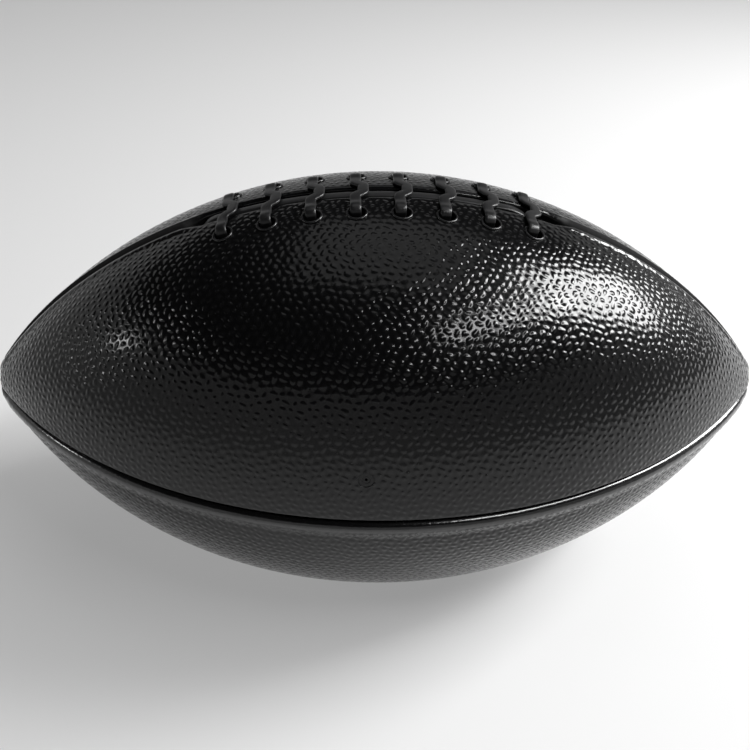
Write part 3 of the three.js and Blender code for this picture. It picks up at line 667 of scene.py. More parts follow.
class Shader:
    """The nodes of one finish, on a Principled surface."""

    def __init__(self, name):
        self.material = bpy.data.materials.new(name)
        self.material.use_nodes = True
        self.tree = self.material.node_tree
        self.tree.nodes.clear()
        self.surface = self.node("ShaderNodeBsdfPrincipled")
        self.output = self.node("ShaderNodeOutputMaterial", sockets={"Surface": self.surface.outputs[0]})

    def node(self, kind, settings=None, sockets=None):
        """A node of a kind: its settings are set first, then the values or links of its sockets."""
        node = self.tree.nodes.new(kind)
        for name, value in (settings or {}).items():
            setattr(node, name, value)
        for name, value in (sockets or {}).items():
            self.plug(node.inputs[name], value)
        return node

    def plug(self, socket, value):
        if isinstance(value, Number):
            self.tree.links.new(value.socket, socket)
        elif isinstance(value, bpy.types.NodeSocket):
            self.tree.links.new(value, socket)
        else:
            socket.default_value = value

    def maths(self, operation, first, second=0.0, third=0.0):
        settings = {"operation": operation}
        node = self.node("ShaderNodeMath", settings, {0: first, 1: second, 2: third})
        return Number(self, node.outputs[0])

    def sine(self, value):
        return self.maths("SINE", value)

    def wrap(self, value, period):
        return self.maths("WRAP", value, period / 2, -period / 2)

    def smaller(self, first, second):
        return self.maths("MINIMUM", first, second)

    def larger(self, first, second):
        return self.maths("MAXIMUM", first, second)

    def attribute(self, name, output):
        return self.node("ShaderNodeAttribute", {"attribute_name": name}).outputs[output]

    def flat_place(self):
        """The place on the flat material, along and across in metres, and the share of its relief."""
        parts = self.node("ShaderNodeSeparateXYZ", sockets={0: self.attribute("flat", "Vector")})
        return [Number(self, part) for part in parts.outputs]

    def taut(self):
        """How far the material is stretched smooth, or left dull where it is negative."""
        return Number(self, self.attribute("taut", "Fac"))

    def noise(self, scale, detail=2.0, vector=None):
        """Noise from 0 to 1, on the piece's own coordinates unless a vector is given."""
        if vector is None:
            vector = self.node("ShaderNodeTexCoord").outputs["Object"]
        sockets = {"Vector": vector, "Scale": scale, "Detail": detail}
        return Number(self, self.node("ShaderNodeTexNoise", sockets=sockets).outputs["Fac"])

    def streaks(self, along, around):
        """Noise drawn out along a cord, with its scales along and around it."""
        place_along, place_around, _ = self.flat_place()
        sockets = {0: place_along * along, 1: place_around * around}
        return self.noise(1, vector=self.node("ShaderNodeCombineXYZ", sockets=sockets).outputs[0])

    def mix(self, factor, first, second):
        """A colour between two."""
        sockets = {0: factor, 6: (*first, 1), 7: (*second, 1)}
        return self.node("ShaderNodeMix", {"data_type": "RGBA"}, sockets).outputs[2]

    def bump(self, height, distance, under=None):
        """A bump of a real height, over another one if given."""
        sockets = {"Height": height, "Distance": distance, "Strength": 1.0}
        if under is not None:
            sockets["Normal"] = under
        return self.node("ShaderNodeBump", sockets=sockets).outputs[0]

    def finish(self, **sockets):
        """Sets the surface's sockets, named with underscores for spaces."""
        for name, value in sockets.items():
            self.plug(self.surface.inputs[name.replace("_", " ")], value)
        return self.material

    def two_tone(self, tint, dark, pattern, roughness, relief, depth, specular):
        """A finish whose colour goes with a pattern from a dark share of the tint to all of it."""
        shade = [dark * part for part in tint]
        return self.finish(
            Base_Color=self.mix(pattern, shade, tint),
            Roughness=roughness,
            Normal=self.bump(relief, depth),
            Specular_IOR_Level=specular,
        )


# Finishes. Noise scales are in features to a metre.


def leather_finish(settings):
    """Pebbled black leather: a fine grain over the pebbles, patches that are more or less polished, and
    painted shade that darkens the colour between the pebbles.
    """
    finish = settings.finish
    pitch = settings.ball.pebble_pitch
    patch_part = 0.3
    patch_spread = 0.1
    grain_depth = 0.01 * MM
    shader = Shader("pebbled_leather")
    along, across, standing = shader.flat_place()
    relief = pebble_relief(along / pitch, across / pitch, shader.sine, shader.wrap, shader.smaller)
    patches = shader.noise(scale=45, detail=3)
    taut = shader.taut()
    dull = shader.larger(0 - taut, 0)
    polish = varied(finish.leather_roughness, patches, patch_spread)
    pebbled = shader.bump(relief * standing, settings.ball.pebble_bump)
    # Painted shade: the colour darkens from the pebbles' tops into the valleys between them, following the
    # relief
    tops = relief * (1 - patch_part + patches * patch_part)
    return shader.finish(
        Base_Color=shader.mix(tops, finish.leather_valley, finish.leather),
        Roughness=polish + dull * finish.dull_roughness,
        Normal=shader.bump(shader.noise(scale=2600), grain_depth, pebbled),
        Specular_IOR_Level=finish.leather_specular,
        Coat_Weight=shader.larger(taut, 0) * finish.lip_gloss,
        Coat_Roughness=finish.lip_roughness,
    )


def lace_finish(settings):
    """Smooth flat lace with fine lines along it."""
    finish = settings.finish
    scuff_depth = 0.6
    shader = Shader("flat_lace")
    lines = shader.streaks(along=160, around=3400)
    scuffs = shader.noise(scale=420, detail=3)
    return shader.two_tone(
        finish.lace,
        dark=0.55,
        pattern=blend(lines, scuffs, part=0.5),
        roughness=varied(finish.lace_roughness, scuffs, spread=0.2),
        relief=lines + scuffs * scuff_depth,
        depth=0.05 * MM,
        specular=0.4,
    )


def eyelet_finish(settings):
    """Moulded plastic, glossy with a faint unevenness."""
    finish = settings.finish
    shader = Shader("moulded_eyelet")
    ripple = shader.noise(scale=700)
    return shader.two_tone(
        finish.eyelet,
        dark=0.6,
        pattern=ripple,
        roughness=varied(finish.eyelet_roughness, ripple, spread=0.12),
        relief=ripple,
        depth=0.03 * MM,
        specular=0.45,
    )


def lining_finish(settings):
    """Woven fabric: warp and weft pass over each other by turns."""
    finish = settings.finish
    yarn_pair = 0.9 * MM
    fluff_depth = 0.4
    shader = Shader("woven_lining")
    warp, weft = [shader.sine(place * (2 * math.pi / yarn_pair)) for place in shader.flat_place()[:2]]
    weave = warp * weft * 0.5 + 0.5
    fluff = shader.noise(scale=900, detail=3)
    return shader.two_tone(
        finish.lining,
        dark=0.35,
        pattern=blend(weave, fluff, part=0.3),
        roughness=varied(finish.lining_roughness, fluff, spread=0.2),
        relief=weave + fluff * fluff_depth,
        depth=0.12 * MM,
        specular=0.25,
    )


def rubber_finish(name, rubber, roughness):
    """Moulded rubber with a dull, slightly blotched skin."""
    shader = Shader(name)
    blotches = shader.noise(scale=130, detail=4)
    return shader.two_tone(
        rubber,
        dark=0.6,
        pattern=blotches,
        roughness=varied(roughness, blotches, spread=0.16),
        relief=shader.noise(scale=2400),
        depth=0.02 * MM,
        specular=0.4,
    )


def guard_finish(settings):
    """The rough flesh side of a leather strip."""
    finish = settings.finish
    shader = Shader("guard_leather")
    nap = shader.noise(scale=1500, detail=5)
    return shader.two_tone(
        finish.guard,
        dark=0.5,
        pattern=blend(nap, shader.noise(scale=90, detail=3), part=0.4),
        roughness=varied(finish.guard_roughness, nap, spread=0.2),
        relief=nap,
        depth=0.08 * MM,
        specular=0.25,
    )


def thread_finish(settings):
    """Waxed thread with fine fibres along its twist."""
    finish = settings.finish
    shader = Shader("waxed_thread")
    fibres = shader.streaks(along=500, around=9000)
    return shader.two_tone(
        finish.thread,
        dark=0.5,
        pattern=fibres,
        roughness=varied(finish.thread_roughness, fibres, spread=0.3),
        relief=fibres,
        depth=0.03 * MM,
        specular=0.4,
    )


def floor_finish(settings):
    """Pale floor, lifted towards white where the camera or a reflection sees it."""
    finish = settings.finish
    shader = Shader("studio_floor")
    shader.finish(Base_Color=(*finish.floor, 1), Roughness=finish.floor_roughness, Specular_IOR_Level=0.0)
    path = shader.node("ShaderNodeLightPath")
    rays = [Number(shader, path.outputs[f"Is {kind} Ray"]) for kind in ("Camera", "Glossy", "Transmission")]
    seen = shader.larger(shader.larger(rays[0], rays[1]), rays[2])
    white = shader.node("ShaderNodeEmission", sockets={"Color": (1, 1, 1, 1), "Strength": 1.0})
    sockets = {0: seen * settings.stage.lift, 1: shader.surface.outputs[0], 2: white.outputs[0]}
    mixed = shader.node("ShaderNodeMixShader", sockets=sockets)
    shader.plug(shader.output.inputs["Surface"], mixed.outputs[0])
    return shader.material


# Pieces

# How far the pebbles stand on a lip, and the share of a lip in the top seam that is all dull
LIP_PEBBLES = 0.4
DULL_LIP = 0.85

# Length of a drill in depths of the cover, so that it goes through every layer
DRILL_REACH = 4


def drill_cover(form, settings, layers):
    """Holes for the eyelets and the valve through the four quarters of a layer of the cover."""
    radius = form.eyelet_barrel + form.ball.seam_room
    for side, layer in ((-1, layers[0]), (1, layers[3])):
        cut_holes(layer, form.eyelets(side), radius, DRILL_REACH * form.bladder_depth)
    drill_valve(form, settings, layers[0])


def drill_valve(form, settings, layer):
    radius = settings.valve.stem / 2 + form.ball.seam_room
    cut_holes(layer, [form.valve(settings.valve)], radius, DRILL_REACH * form.bladder_depth)


class FOOTBALL_OT_panels(Operator):
    """Makes the four pebbled panels of the cover"""

    bl_idname = "football.panels"
    bl_label = "Panels"

    rows = 500
    outer_columns = 166
    lip_steps = 7
    wall_steps = 2
    inner_columns = 8

    def execute(self, context):
        settings = context.scene.football
        form = Form(settings)
        leather = leather_finish(settings)
        panels = [
            add_piece(f"pebbled_panel_{name}", self.skin(form, quarter), leather, "panel", f"panel_{name}")
            for quarter, name in enumerate(QUARTERS)
        ]
        drill_cover(form, settings, panels)
        return {"FINISHED"}

    def skin(self, form, quarter):
        """A panel: pebbled outside, its edges rolled into the seams and turned in behind."""
        ball = form.ball
        station = form.stations(self.rows, -form.tip_angle, form.tip_angle)
        radius = form.meridian(station, 0)[1]
        edges, flange = form.edge_sizes(quarter, station)
        depth = np.minimum(form.cover_depth, COVER_SHARE * radius)
        thickness = np.minimum(ball.panel_thickness, PANEL_SHARE * depth)
        wall = np.linspace(0, 1, self.wall_steps, endpoint=False)
        rise = np.linspace(0, QUARTER_TURN, self.lip_steps + 1)

        # From the flange's foot up over the lip
        edge_heights = []
        edge_turns = []
        for edge in edges:
            foot = [edge.opening + flange, edge.opening + 0 * wall]
            offset = np.hstack([*foot, edge.opening + edge.lip * (1 - np.cos(rise))])
            top = edge.welt - edge.lip
            height = np.hstack([-depth, -depth + (depth + top) * wall, top + edge.lip * np.sin(rise)])
            edge_heights.append(height)
            edge_turns.append(form.turn_beside(offset, station, height))

        outer = np.linspace(0, 1, self.outer_columns + 1)[1:-1]
        first = edge_turns[0][:, -1:]
        last = QUARTER_TURN - edge_turns[1][:, -1:]
        outer_turn = blend(first, last, outer)
        margins = [(outer_turn - first) * radius, (last - outer_turn) * radius]
        outer_height = sum(
            edge.welt * (1 - smooth_step(margin, 0, edge.welt_width)) for edge, margin in zip(edges, margins)
        )
        inner = np.linspace(0, 1, self.inner_columns + 1)
        inner_first, inner_last = [
            form.turn_beside(edge.opening + flange, station, -thickness) for edge in edges
        ]
        inner_turn = blend(QUARTER_TURN - inner_last, inner_first, inner)

        def around(start, outside, end, inside=0):
            """A value up one edge, over the outside, down the other edge and along the inside."""
            return np.hstack([start, outside, end[:, ::-1], inside + 0 * inner_turn])

        turn = around(edge_turns[0], outer_turn, QUARTER_TURN - edge_turns[1], inner_turn)
        height = around(edge_heights[0], outer_height, edge_heights[1], -thickness)
        insets = [smooth_step(margin, 0, edge.pebble_margin) for edge, margin in zip(edges, margins)]
        on_lip = LIP_PEBBLES * np.hstack([0, 0 * wall, np.sin(rise)]) + 0 * station
        standing = around(on_lip, LIP_PEBBLES + (1 - LIP_PEBBLES) * np.minimum(*insets), on_lip)
        standing = standing * pebble_share(form, station, quarter * QUARTER_TURN + turn)
        taut = around(*self.gloss(form, station, edges, insets, wall, rise))

        flat = form.flat_place(station, turn - QUARTER_TURN / 2)
        along = flat[..., 0]
        across = flat[..., 1] + PANEL_SHIFT * quarter * ball.pebble_pitch
        pitches = (along / ball.pebble_pitch, across / ball.pebble_pitch)
        relief = pebble_relief(*pitches, np.sin, wrapped_number, np.minimum)
        height = height + standing * relief * ball.pebble_height
        rings = form.point(station, quarter * QUARTER_TURN + turn, height)
        rings[..., 2] = np.maximum(rings[..., 2], 0)
        return rolled_skin(rings, flat_values(along, across, standing), taut)

    def gloss(self, form, station, edges, insets, wall, rise):
        """How far the leather is taut on one edge, the outside and the other edge: dull in the top seam."""
        in_seam = np.hstack([1, 1 + 0 * wall, 1 - smooth_step(rise, DULL_LIP * QUARTER_TURN, QUARTER_TURN)])
        tight = [smooth_step(edge.lip, form.lacing.slot_lip, form.ball.lip_radius) for edge in edges]
        dull = [in_seam * (form.narrowing(station) if laced(edge.seam) else 0) for edge in edges]
        first, last = [polished * (1 - rough) - rough for polished, rough in zip(tight, dull)]
        return first, sum(polished * (1 - inset) for polished, inset in zip(tight, insets)), last


class FOOTBALL_OT_linings(Operator):
    """Makes the four woven linings behind the panels"""

    bl_idname = "football.linings"
    bl_label = "Linings"

    rows = 160
    columns = 30

    def execute(self, context):
        settings = context.scene.football
        form = Form(settings)
        fabric = lining_finish(settings)
        linings = []
        for quarter, name in enumerate(QUARTERS):
            rings, flat = self.cloth(form, quarter)
            skin = rolled_skin(rings, flat_values(flat[..., 0], flat[..., 1]))
            lining = add_piece(f"woven_lining_{name}", skin, fabric, "lining", f"lining_{name}")
            linings.append(lining)
        drill_cover(form, settings, linings)
        return {"FINISHED"}

    def cloth(self, form, quarter):
        """A lining's rings of points, and their places on the flat cloth."""
        station = form.stations(self.rows, -form.nose_angle, form.nose_angle)
        edges, flange = form.edge_sizes(quarter, station)
        part = np.linspace(0, 1, self.columns + 1)
        first, last = [
            form.turn_beside(edge.opening + flange + form.ball.clearance, station, -form.cover_depth)
            for edge in edges
        ]
        outside = blend(first, QUARTER_TURN - last, part)
        turn = np.hstack([outside, outside[:, ::-1]])
        height = np.hstack([0 * outside - form.lining_top, 0 * outside - form.cover_depth])
        flat = form.flat_place(station, turn - QUARTER_TURN / 2, -form.lining_top)
        return form.point(station, quarter * QUARTER_TURN + turn, height), flat

    def cut(self, flat):
        """Width and length of the cloth as it was cut, and its area inside the outline."""
        face = flat[:, : self.columns + 1]
        along, across = np.vstack([face[:, 0], face[::-1, -1]]).T
        area = abs(along @ np.roll(across, 1) - across @ np.roll(along, 1)) / 2
        return (np.ptp(face[..., 1]), np.ptp(face[..., 0])), area


class FOOTBALL_OT_bladder(Operator):
    """Makes the hollow rubber bladder, pressed in under the lacing"""

    bl_idname = "football.bladder"
    bl_label = "Bladder"

    rows = 140
    columns = 96

    def execute(self, context):
        settings = context.scene.football
        finish = settings.finish
        form = Form(settings)
        rubber = rubber_finish("bladder_rubber", finish.bladder, finish.bladder_roughness)
        bladder = add_piece("hollow_bladder", self.skin(form), rubber, "bladder", "bladder")
        wall = bladder.modifiers.new("wall", "SOLIDIFY")
        wall.thickness = form.ball.bladder_wall
        wall.offset = -1
        bake_modifiers(bladder)
        drill_valve(form, settings, bladder)
        return {"FINISHED"}

    def skin(self, form):
        """The outside of the bladder, with a dent under the guard."""
        lacing = form.lacing
        station = form.stations(self.rows, -form.tip_angle, form.tip_angle)
        turn = np.linspace(-math.pi, math.pi, self.columns, endpoint=False)[None, :]
        x, r = form.meridian(station, 0)
        half_length = form.guard_half_length + lacing.dent_margin
        half_width = form.guard_half_width + lacing.dent_margin
        lengthways = 1 - smooth_step(np.abs(x - lacing.shift), half_length, half_length + lacing.dent_fade)
        sideways = 1 - smooth_step(np.abs(turn) * r, half_width, half_width + lacing.dent_fade)
        deepest = lacing.guard_thickness + form.ball.clearance - form.guard_top - form.bladder_depth
        depth = form.bladder_depth + deepest * lengthways * sideways
        return rolled_skin(form.point(station, turn, -depth))


class FOOTBALL_OT_guard(Operator):
    """Makes the guard strip between the lacing and the bladder"""

    bl_idname = "football.guard"
    bl_label = "Guard"

    rows = 90
    columns = 18
    edge_steps = 6

    def execute(self, context):
        settings = context.scene.football
        skin = self.skin(Form(settings))
        add_piece("guard_strip", skin, guard_finish(settings), "guard", "lace_guard")
        return {"FINISHED"}

    def skin(self, form):
        """A strip with round edges, bent over the bladder."""
        half = form.lacing.guard_thickness / 2
        side = form.guard_half_width - half
        angle = np.linspace(-QUARTER_TURN, QUARTER_TURN, self.edge_steps)
        top = np.linspace(side, -side, self.columns)[1:-1]
        y = np.hstack([side + half * np.cos(angle), top, -side - half * np.cos(angle), top[::-1]])
        height = np.hstack([half * np.sin(angle), half + 0 * top, -half * np.sin(angle), -half + 0 * top])
        x = np.linspace(-form.guard_half_length, form.guard_half_length, self.rows)[:, None]
        station, turn = form.lacing_place(x, y[None, :])
        return rolled_skin(form.point(station, turn, form.guard_top - half + height[None, :]))


class FOOTBALL_OT_threads(Operator):
    """Makes the twisted thread along each seam"""

    bl_idname = "football.threads"
    bl_label = "Seam threads"

    spacing = 0.5 * MM
    sides = 10
    twist = 2.6 * MM
    groove = 0.22
    groove_sharpness = 4

    def execute(self, context):
        settings = context.scene.football
        form = Form(settings)
        waxed = thread_finish(settings)
        slot_ends = form.station_at(np.array([-form.slot_end, form.slot_end]) + form.lacing.shift)
        tip = form.tip_angle
        runs = {
            "top_left": (0, -tip, slot_ends[0]),
            "top_right": (0, slot_ends[1], tip),
            "near": (1, -tip, tip),
            "bottom": (2, -tip, tip),
            "far": (3, -tip, tip),
        }
        for name, (seam, first, last) in runs.items():
            skin = self.skin(form, seam * QUARTER_TURN, first, last)
            add_piece(f"twisted_thread_{name}", skin, waxed, "thread", f"thread_{name}")
        return {"FINISHED"}

    def skin(self, form, turn, first, last):
        """A thread of two strands, which show as a groove winding round it."""
        radius = form.ball.thread_diameter / 2
        count = round((form.run(last) - form.run(first)) / self.spacing)
        station = form.stations(count, first, last)
        run = form.run(station)
        angle = np.linspace(0, 2 * math.pi, self.sides, endpoint=False)[None, :]
        room = THREAD_SHARE * form.meridian(station, -form.cover_depth)[1]
        winding = np.abs(np.sin(angle - math.pi * run / self.twist)) ** self.groove_sharpness
        reach = radius * (1 - self.groove * winding) * np.minimum(1, room / form.seam_half)
        depth = np.minimum(
            form.cover_depth - radius - form.ball.clearance,
            THREAD_DEPTH_SHARE * form.meridian(station, 0)[1],
        )
        side = form.normal(0, turn + QUARTER_TURN)
        out = form.point(station, turn, 0) - form.point(station, turn, -MM)
        out = out / np.linalg.norm(out, axis=-1, keepdims=True)
        ring = (np.cos(angle) * reach)[..., None] * out + (np.sin(angle) * reach)[..., None] * side
        return rolled_skin(form.point(station, turn, -depth) + ring, flat_values(run, angle * radius))


# The lace is one flat cord. From a tail under the left end of the slot it rises and runs along the slot
# as a strip, dives under the last row, comes up at the near side and then crosses over each row in turn,
# with a slanting run inside between rows. A stop on its route is a place over the lacing, a height, and
# the way its face looks in the directions along, across and out.

FLAT_IN = (0, 0, -1)
BEND_STEPS = 4
BEND = [(math.sin(angle), math.cos(angle)) for angle in np.linspace(0, QUARTER_TURN, BEND_STEPS + 1)]
CORNER = math.radians(150)
CORNER_STEPS = 6
SLIDE_STEPS = 5
INSIDE_STEPS = 4


def slide(start, end):
    """Stops along the slot from one height to another."""
    stops = []
    for part in np.linspace(0, 1, SLIDE_STEPS + 1):
        eased = smooth_step(part, 0, 1)
        place = [blend(a, b, done) for a, b, done in zip(start, end, (part, eased, eased))]
        stops.append((*place, FLAT_IN))
    return stops


def strip_route(form):
    """From the left tail along the slot, and round the corner inside to the near side."""
    lacing = form.lacing
    under_cover = -form.cover_depth - lacing.inside_gap - lacing.thickness / 2
    strip = lacing.strip_rise - lacing.thickness / 2
    side = lacing.strip_offset
    *rows, last = form.rows()
    dive_start = last - lacing.width
    dive_end = last + lacing.turn + lacing.thickness
    stops = [(-form.slot_end - lacing.turn, 0, form.lace_inside, FLAT_IN)]
    stops += slide(
        (-form.slot_end + lacing.width / 2, 0, under_cover),
        (-form.lacing_half - lacing.turn, side, strip),
    )
    stops += [(x, side, strip, FLAT_IN) for x in rows]
    stops += slide((dive_start, side, strip), (dive_end, side, form.lace_inside))
    for angle in np.linspace(0, CORNER, CORNER_STEPS + 1)[1:]:
        x = dive_end + lacing.turn * math.sin(angle)
        y = side - lacing.turn * (1 - math.cos(angle))
        stops.append((x, y, form.lace_inside, FLAT_IN))
    return stops


def near_rise(form, x, run):
    """Up through the near eyelet of a row, arriving inside in the direction of run."""
    lacing = form.lacing
    top = lacing.rim_height + lacing.seat + lacing.thickness / 2
    stops = []
    for sine, cosine in BEND:
        back = lacing.bend * (1 - sine)
        height = form.lace_inside + lacing.bend * (1 - cosine)
        face = (run.x * sine, run.y * sine, -cosine)
        stops.append((x - run.x * back, -form.lace_side - run.y * back, height, face))
    for sine, cosine in BEND:
        y = lacing.bend * (1 - cosine) - form.lace_side
        stops.append((x, y, top - lacing.bend * (1 - sine), (0, -cosine, sine)))
    return stops


def far_fall(form, x, run):
    """Down through the far eyelet of a row, leaving inside in the direction of run: a rise in the mirror."""
    rise = near_rise(form, x, Vector((-run.x, run.y)))
    return [(at, -y, height, (face[0], -face[1], face[2])) for at, y, height, face in reversed(rise)]


def crossing(form, x):
    """Over the panels, the slot and the strip, with a jog along the ball over the slot."""
    lacing = form.lacing
    height = form.ball.pebble_height + lacing.seat + lacing.thickness / 2
    stops = [
        (lacing.eyelet_offset - form.eyelet_edge - lacing.bend, 0),
        (lacing.slot_width / 2 + lacing.slot_lip, 0),
        (lacing.slot_width / 2 - lacing.jog / 2, lacing.jog),
    ]
    across = [(-y, jog) for y, jog in stops] + [(0, lacing.jog)] + stops[::-1]
    return [(x + jog, y, height, (0, 0, 1)) for y, jog in across]


def inside_run(form, x):
    """Along under the cover from the far eyelet of a row to the near one of the row before it."""
    parts = np.linspace(0, 1, INSIDE_STEPS + 1)[1:-1]
    return [
        (x - form.lacing.pitch * part, form.lace_side * (1 - 2 * part), form.lace_inside, FLAT_IN)
        for part in parts
    ]


def lace_route(form):
    """All stops of the lace, from one tail to the other."""
    lacing = form.lacing
    slant = Vector((-lacing.pitch, -2 * form.lace_side)).normalized()
    rows = [x + lacing.lean for x in form.rows()[::-1]]
    stops = strip_route(form)
    stops += near_rise(form, rows[0], Vector((math.cos(CORNER), -math.sin(CORNER))))
    stops += crossing(form, rows[0])
    for before, x in zip(rows, rows[1:]):
        stops += far_fall(form, before, slant)
        stops += inside_run(form, before)
        stops += near_rise(form, x, slant)
        stops += crossing(form, x)
    stops += far_fall(form, rows[-1], Vector((0, -1)))
    x, y, height, face = stops[-1]
    return [*stops, (x, y - lacing.tail, height, face)]


def smooth_route(points, steps):
    """A curve through the points, with steps to each stretch."""
    before = np.vstack([2 * points[:1] - points[1:2], points[:-2]])
    after = np.vstack([points[2:], 2 * points[-1:] - points[-2:-1]])
    first, last = points[:-1], points[1:]
    span = np.linalg.norm(last - first, axis=1)[:, None]
    back = np.linalg.norm(first - before, axis=1)[:, None]
    ahead = np.linalg.norm(after - last, axis=1)[:, None]
    leaving = span * ((first - before) / back * span + (last - first) / span * back) / (span + back)
    coming = span * ((last - first) / span * ahead + (after - last) / ahead * span) / (span + ahead)
    curve = []
    for i in range(steps):
        t = i / steps
        between = blend(first, last, smooth_step(t, 0, 1))
        curve.append(between + t * (1 - t) ** 2 * leaving - t**2 * (1 - t) * coming)
    return np.vstack([np.stack(curve, axis=1).reshape(-1, 3), points[-1:]])


class FOOTBALL_OT_lace(Operator):
    """Makes the flat lace, laced through the eyelets"""

    bl_idname = "football.lace"
    bl_label = "Lace"

    steps = 5
    sides = 24
    squareness = 0.62

    def execute(self, context):
        settings = context.scene.football
        add_piece("tied_lace", self.skin(Form(settings)), lace_finish(settings), "lace", "lace")
        return {"FINISHED"}

    def skin(self, form):
        """A flat section swept along the route, its face turned the way that each stop looks."""
        points = []
        looks = []
        for x, y, height, face in lace_route(form):
            station, turn = form.lacing_place(x, y)
            out = form.normal(station, turn)
            across = np.array([0, math.cos(turn), math.sin(turn)])
            along = np.cross(across, out)
            points.append(form.point(station, turn, height))
            looks.append(along * face[0] + across * face[1] + out * face[2])
        middle = smooth_route(np.array(points), self.steps)
        looks = np.array(looks)
        part = np.arange(self.steps)[None, :, None] / self.steps
        look = blend(looks[:-1, None], looks[1:, None], part).reshape(-1, 3)
        look = np.vstack([look, looks[-1:]])
        ahead = np.gradient(middle, axis=0)
        ahead /= np.linalg.norm(ahead, axis=1, keepdims=True)
        thick = look - ahead * np.sum(look * ahead, axis=1, keepdims=True)
        thick /= np.linalg.norm(thick, axis=1, keepdims=True)
        wide = np.cross(ahead, thick)
        angle = np.linspace(0, 2 * math.pi, self.sides, endpoint=False)
        section_wide = form.lacing.width / 2 * self.squared(np.cos(angle))
        section_thick = form.lacing.thickness / 2 * self.squared(np.sin(angle))
        rings = (
            middle[:, None]
            + wide[:, None] * section_wide[None, :, None]
            + thick[:, None] * section_thick[None, :, None]
        )
        run = np.concatenate([[0], np.cumsum(np.linalg.norm(np.diff(middle, axis=0), axis=1))])
        return rolled_skin(rings, flat_values(run[:, None], section_wide[None, :]))

    def squared(self, value):
        """Pushes a round section towards a flat one with rounded edges."""
        return np.sign(value) * np.abs(value) ** self.squareness


class FOOTBALL_OT_eyelets(Operator):
    """Makes the two rows of eyelets"""

    bl_idname = "football.eyelets"
    bl_label = "Eyelets"

    segments = 44
    rim_steps = 12
    foot_steps = 6

    def execute(self, context):
        settings = context.scene.football
        form = Form(settings)
        plastic = eyelet_finish(settings)
        profile = self.profile(form)
        for row, side in (("near", -1), ("far", 1)):
            for i, matrix in enumerate(form.eyelets(side), 1):
                shape = turned_shape(profile, matrix, self.segments)
                add_piece(f"moulded_eyelet_{row}_{i}", shape, plastic, "eyelet", f"eyelet_{row}_{i}")
        return {"FINISHED"}

    def profile(self, form):
        """A round rim on the leather, a barrel through the cover and a foot spread behind it."""
        bore = form.eyelet_bore
        edge = form.eyelet_edge
        rim = (edge - bore) / 2
        foot = form.lacing.foot / 2
        foot_edge = edge + form.ball.clearance
        return [
            (bore, form.foot_top - form.lacing.foot),
            *arc((bore + rim, form.lacing.rim_height - rim), rim, 180, 0, self.rim_steps),
            (edge, 0),
            (form.eyelet_barrel, 0),
            (form.eyelet_barrel, form.foot_top),
            *arc((foot_edge - foot, form.foot_top - foot), foot, 90, -90, self.foot_steps),
        ]


class FOOTBALL_OT_valve(Operator):
    """Makes the valve and its plug"""

    bl_idname = "football.valve"
    bl_label = "Valve"

    segments = 48
    edge = 0.1 * MM
    edge_steps = 4

    def execute(self, context):
        settings = context.scene.football
        form = Form(settings)
        finish = settings.finish
        valve = settings.valve
        rubber = rubber_finish("valve_rubber", finish.valve, finish.valve_roughness)
        bore = valve.plug / 2 + form.ball.seam_room
        flange_base = -valve.flange_depth - valve.flange_thickness
        base = flange_base - valve.barrel_length
        body = self.body_profile(valve, bore, flange_base, base)
        plug = self.plug_profile(valve, base)
        for name, profile, node in (("valve_stem", body, "valve_body"), ("needle_plug", plug, "valve_plug")):
            shape = turned_shape(profile, form.valve(valve), self.segments)
            add_piece(name, shape, rubber, "valve", node)
        return {"FINISHED"}

    def corner(self, radius, height, start, end):
        """A small quarter round at a corner, between two angles in degrees."""
        middle = math.radians((start + end) / 2)
        inwards = math.copysign(self.edge, math.cos(middle))
        down = math.copysign(self.edge, math.sin(middle))
        return arc((radius - inwards, height - down), self.edge, start, end, self.edge_steps)

    def body_profile(self, valve, bore, flange_base, base):
        return [
            (bore, base),
            *self.corner(bore, -valve.recess, 180, 90),
            *self.corner(valve.stem / 2, -valve.recess, 90, 0),
            (valve.stem / 2, -valve.flange_depth),
            *self.corner(valve.flange / 2, -valve.flange_depth, 90, 0),
            *self.corner(valve.flange / 2, flange_base, 0, -90),
            (valve.barrel / 2, flange_base),
            *self.corner(valve.barrel / 2, base, 0, -90),
        ]

    def plug_profile(self, valve, base):
        hole = valve.needle_hole / 2
        top = -valve.recess - valve.plug_recess
        return [
            (0, base),
            *self.corner(valve.plug / 2, base, -90, 0),
            *self.corner(valve.plug / 2, top, 0, 90),
            *self.corner(hole, top, 90, 180),
            (hole, top - valve.needle_depth),
            (0, top - valve.needle_depth),
        ]


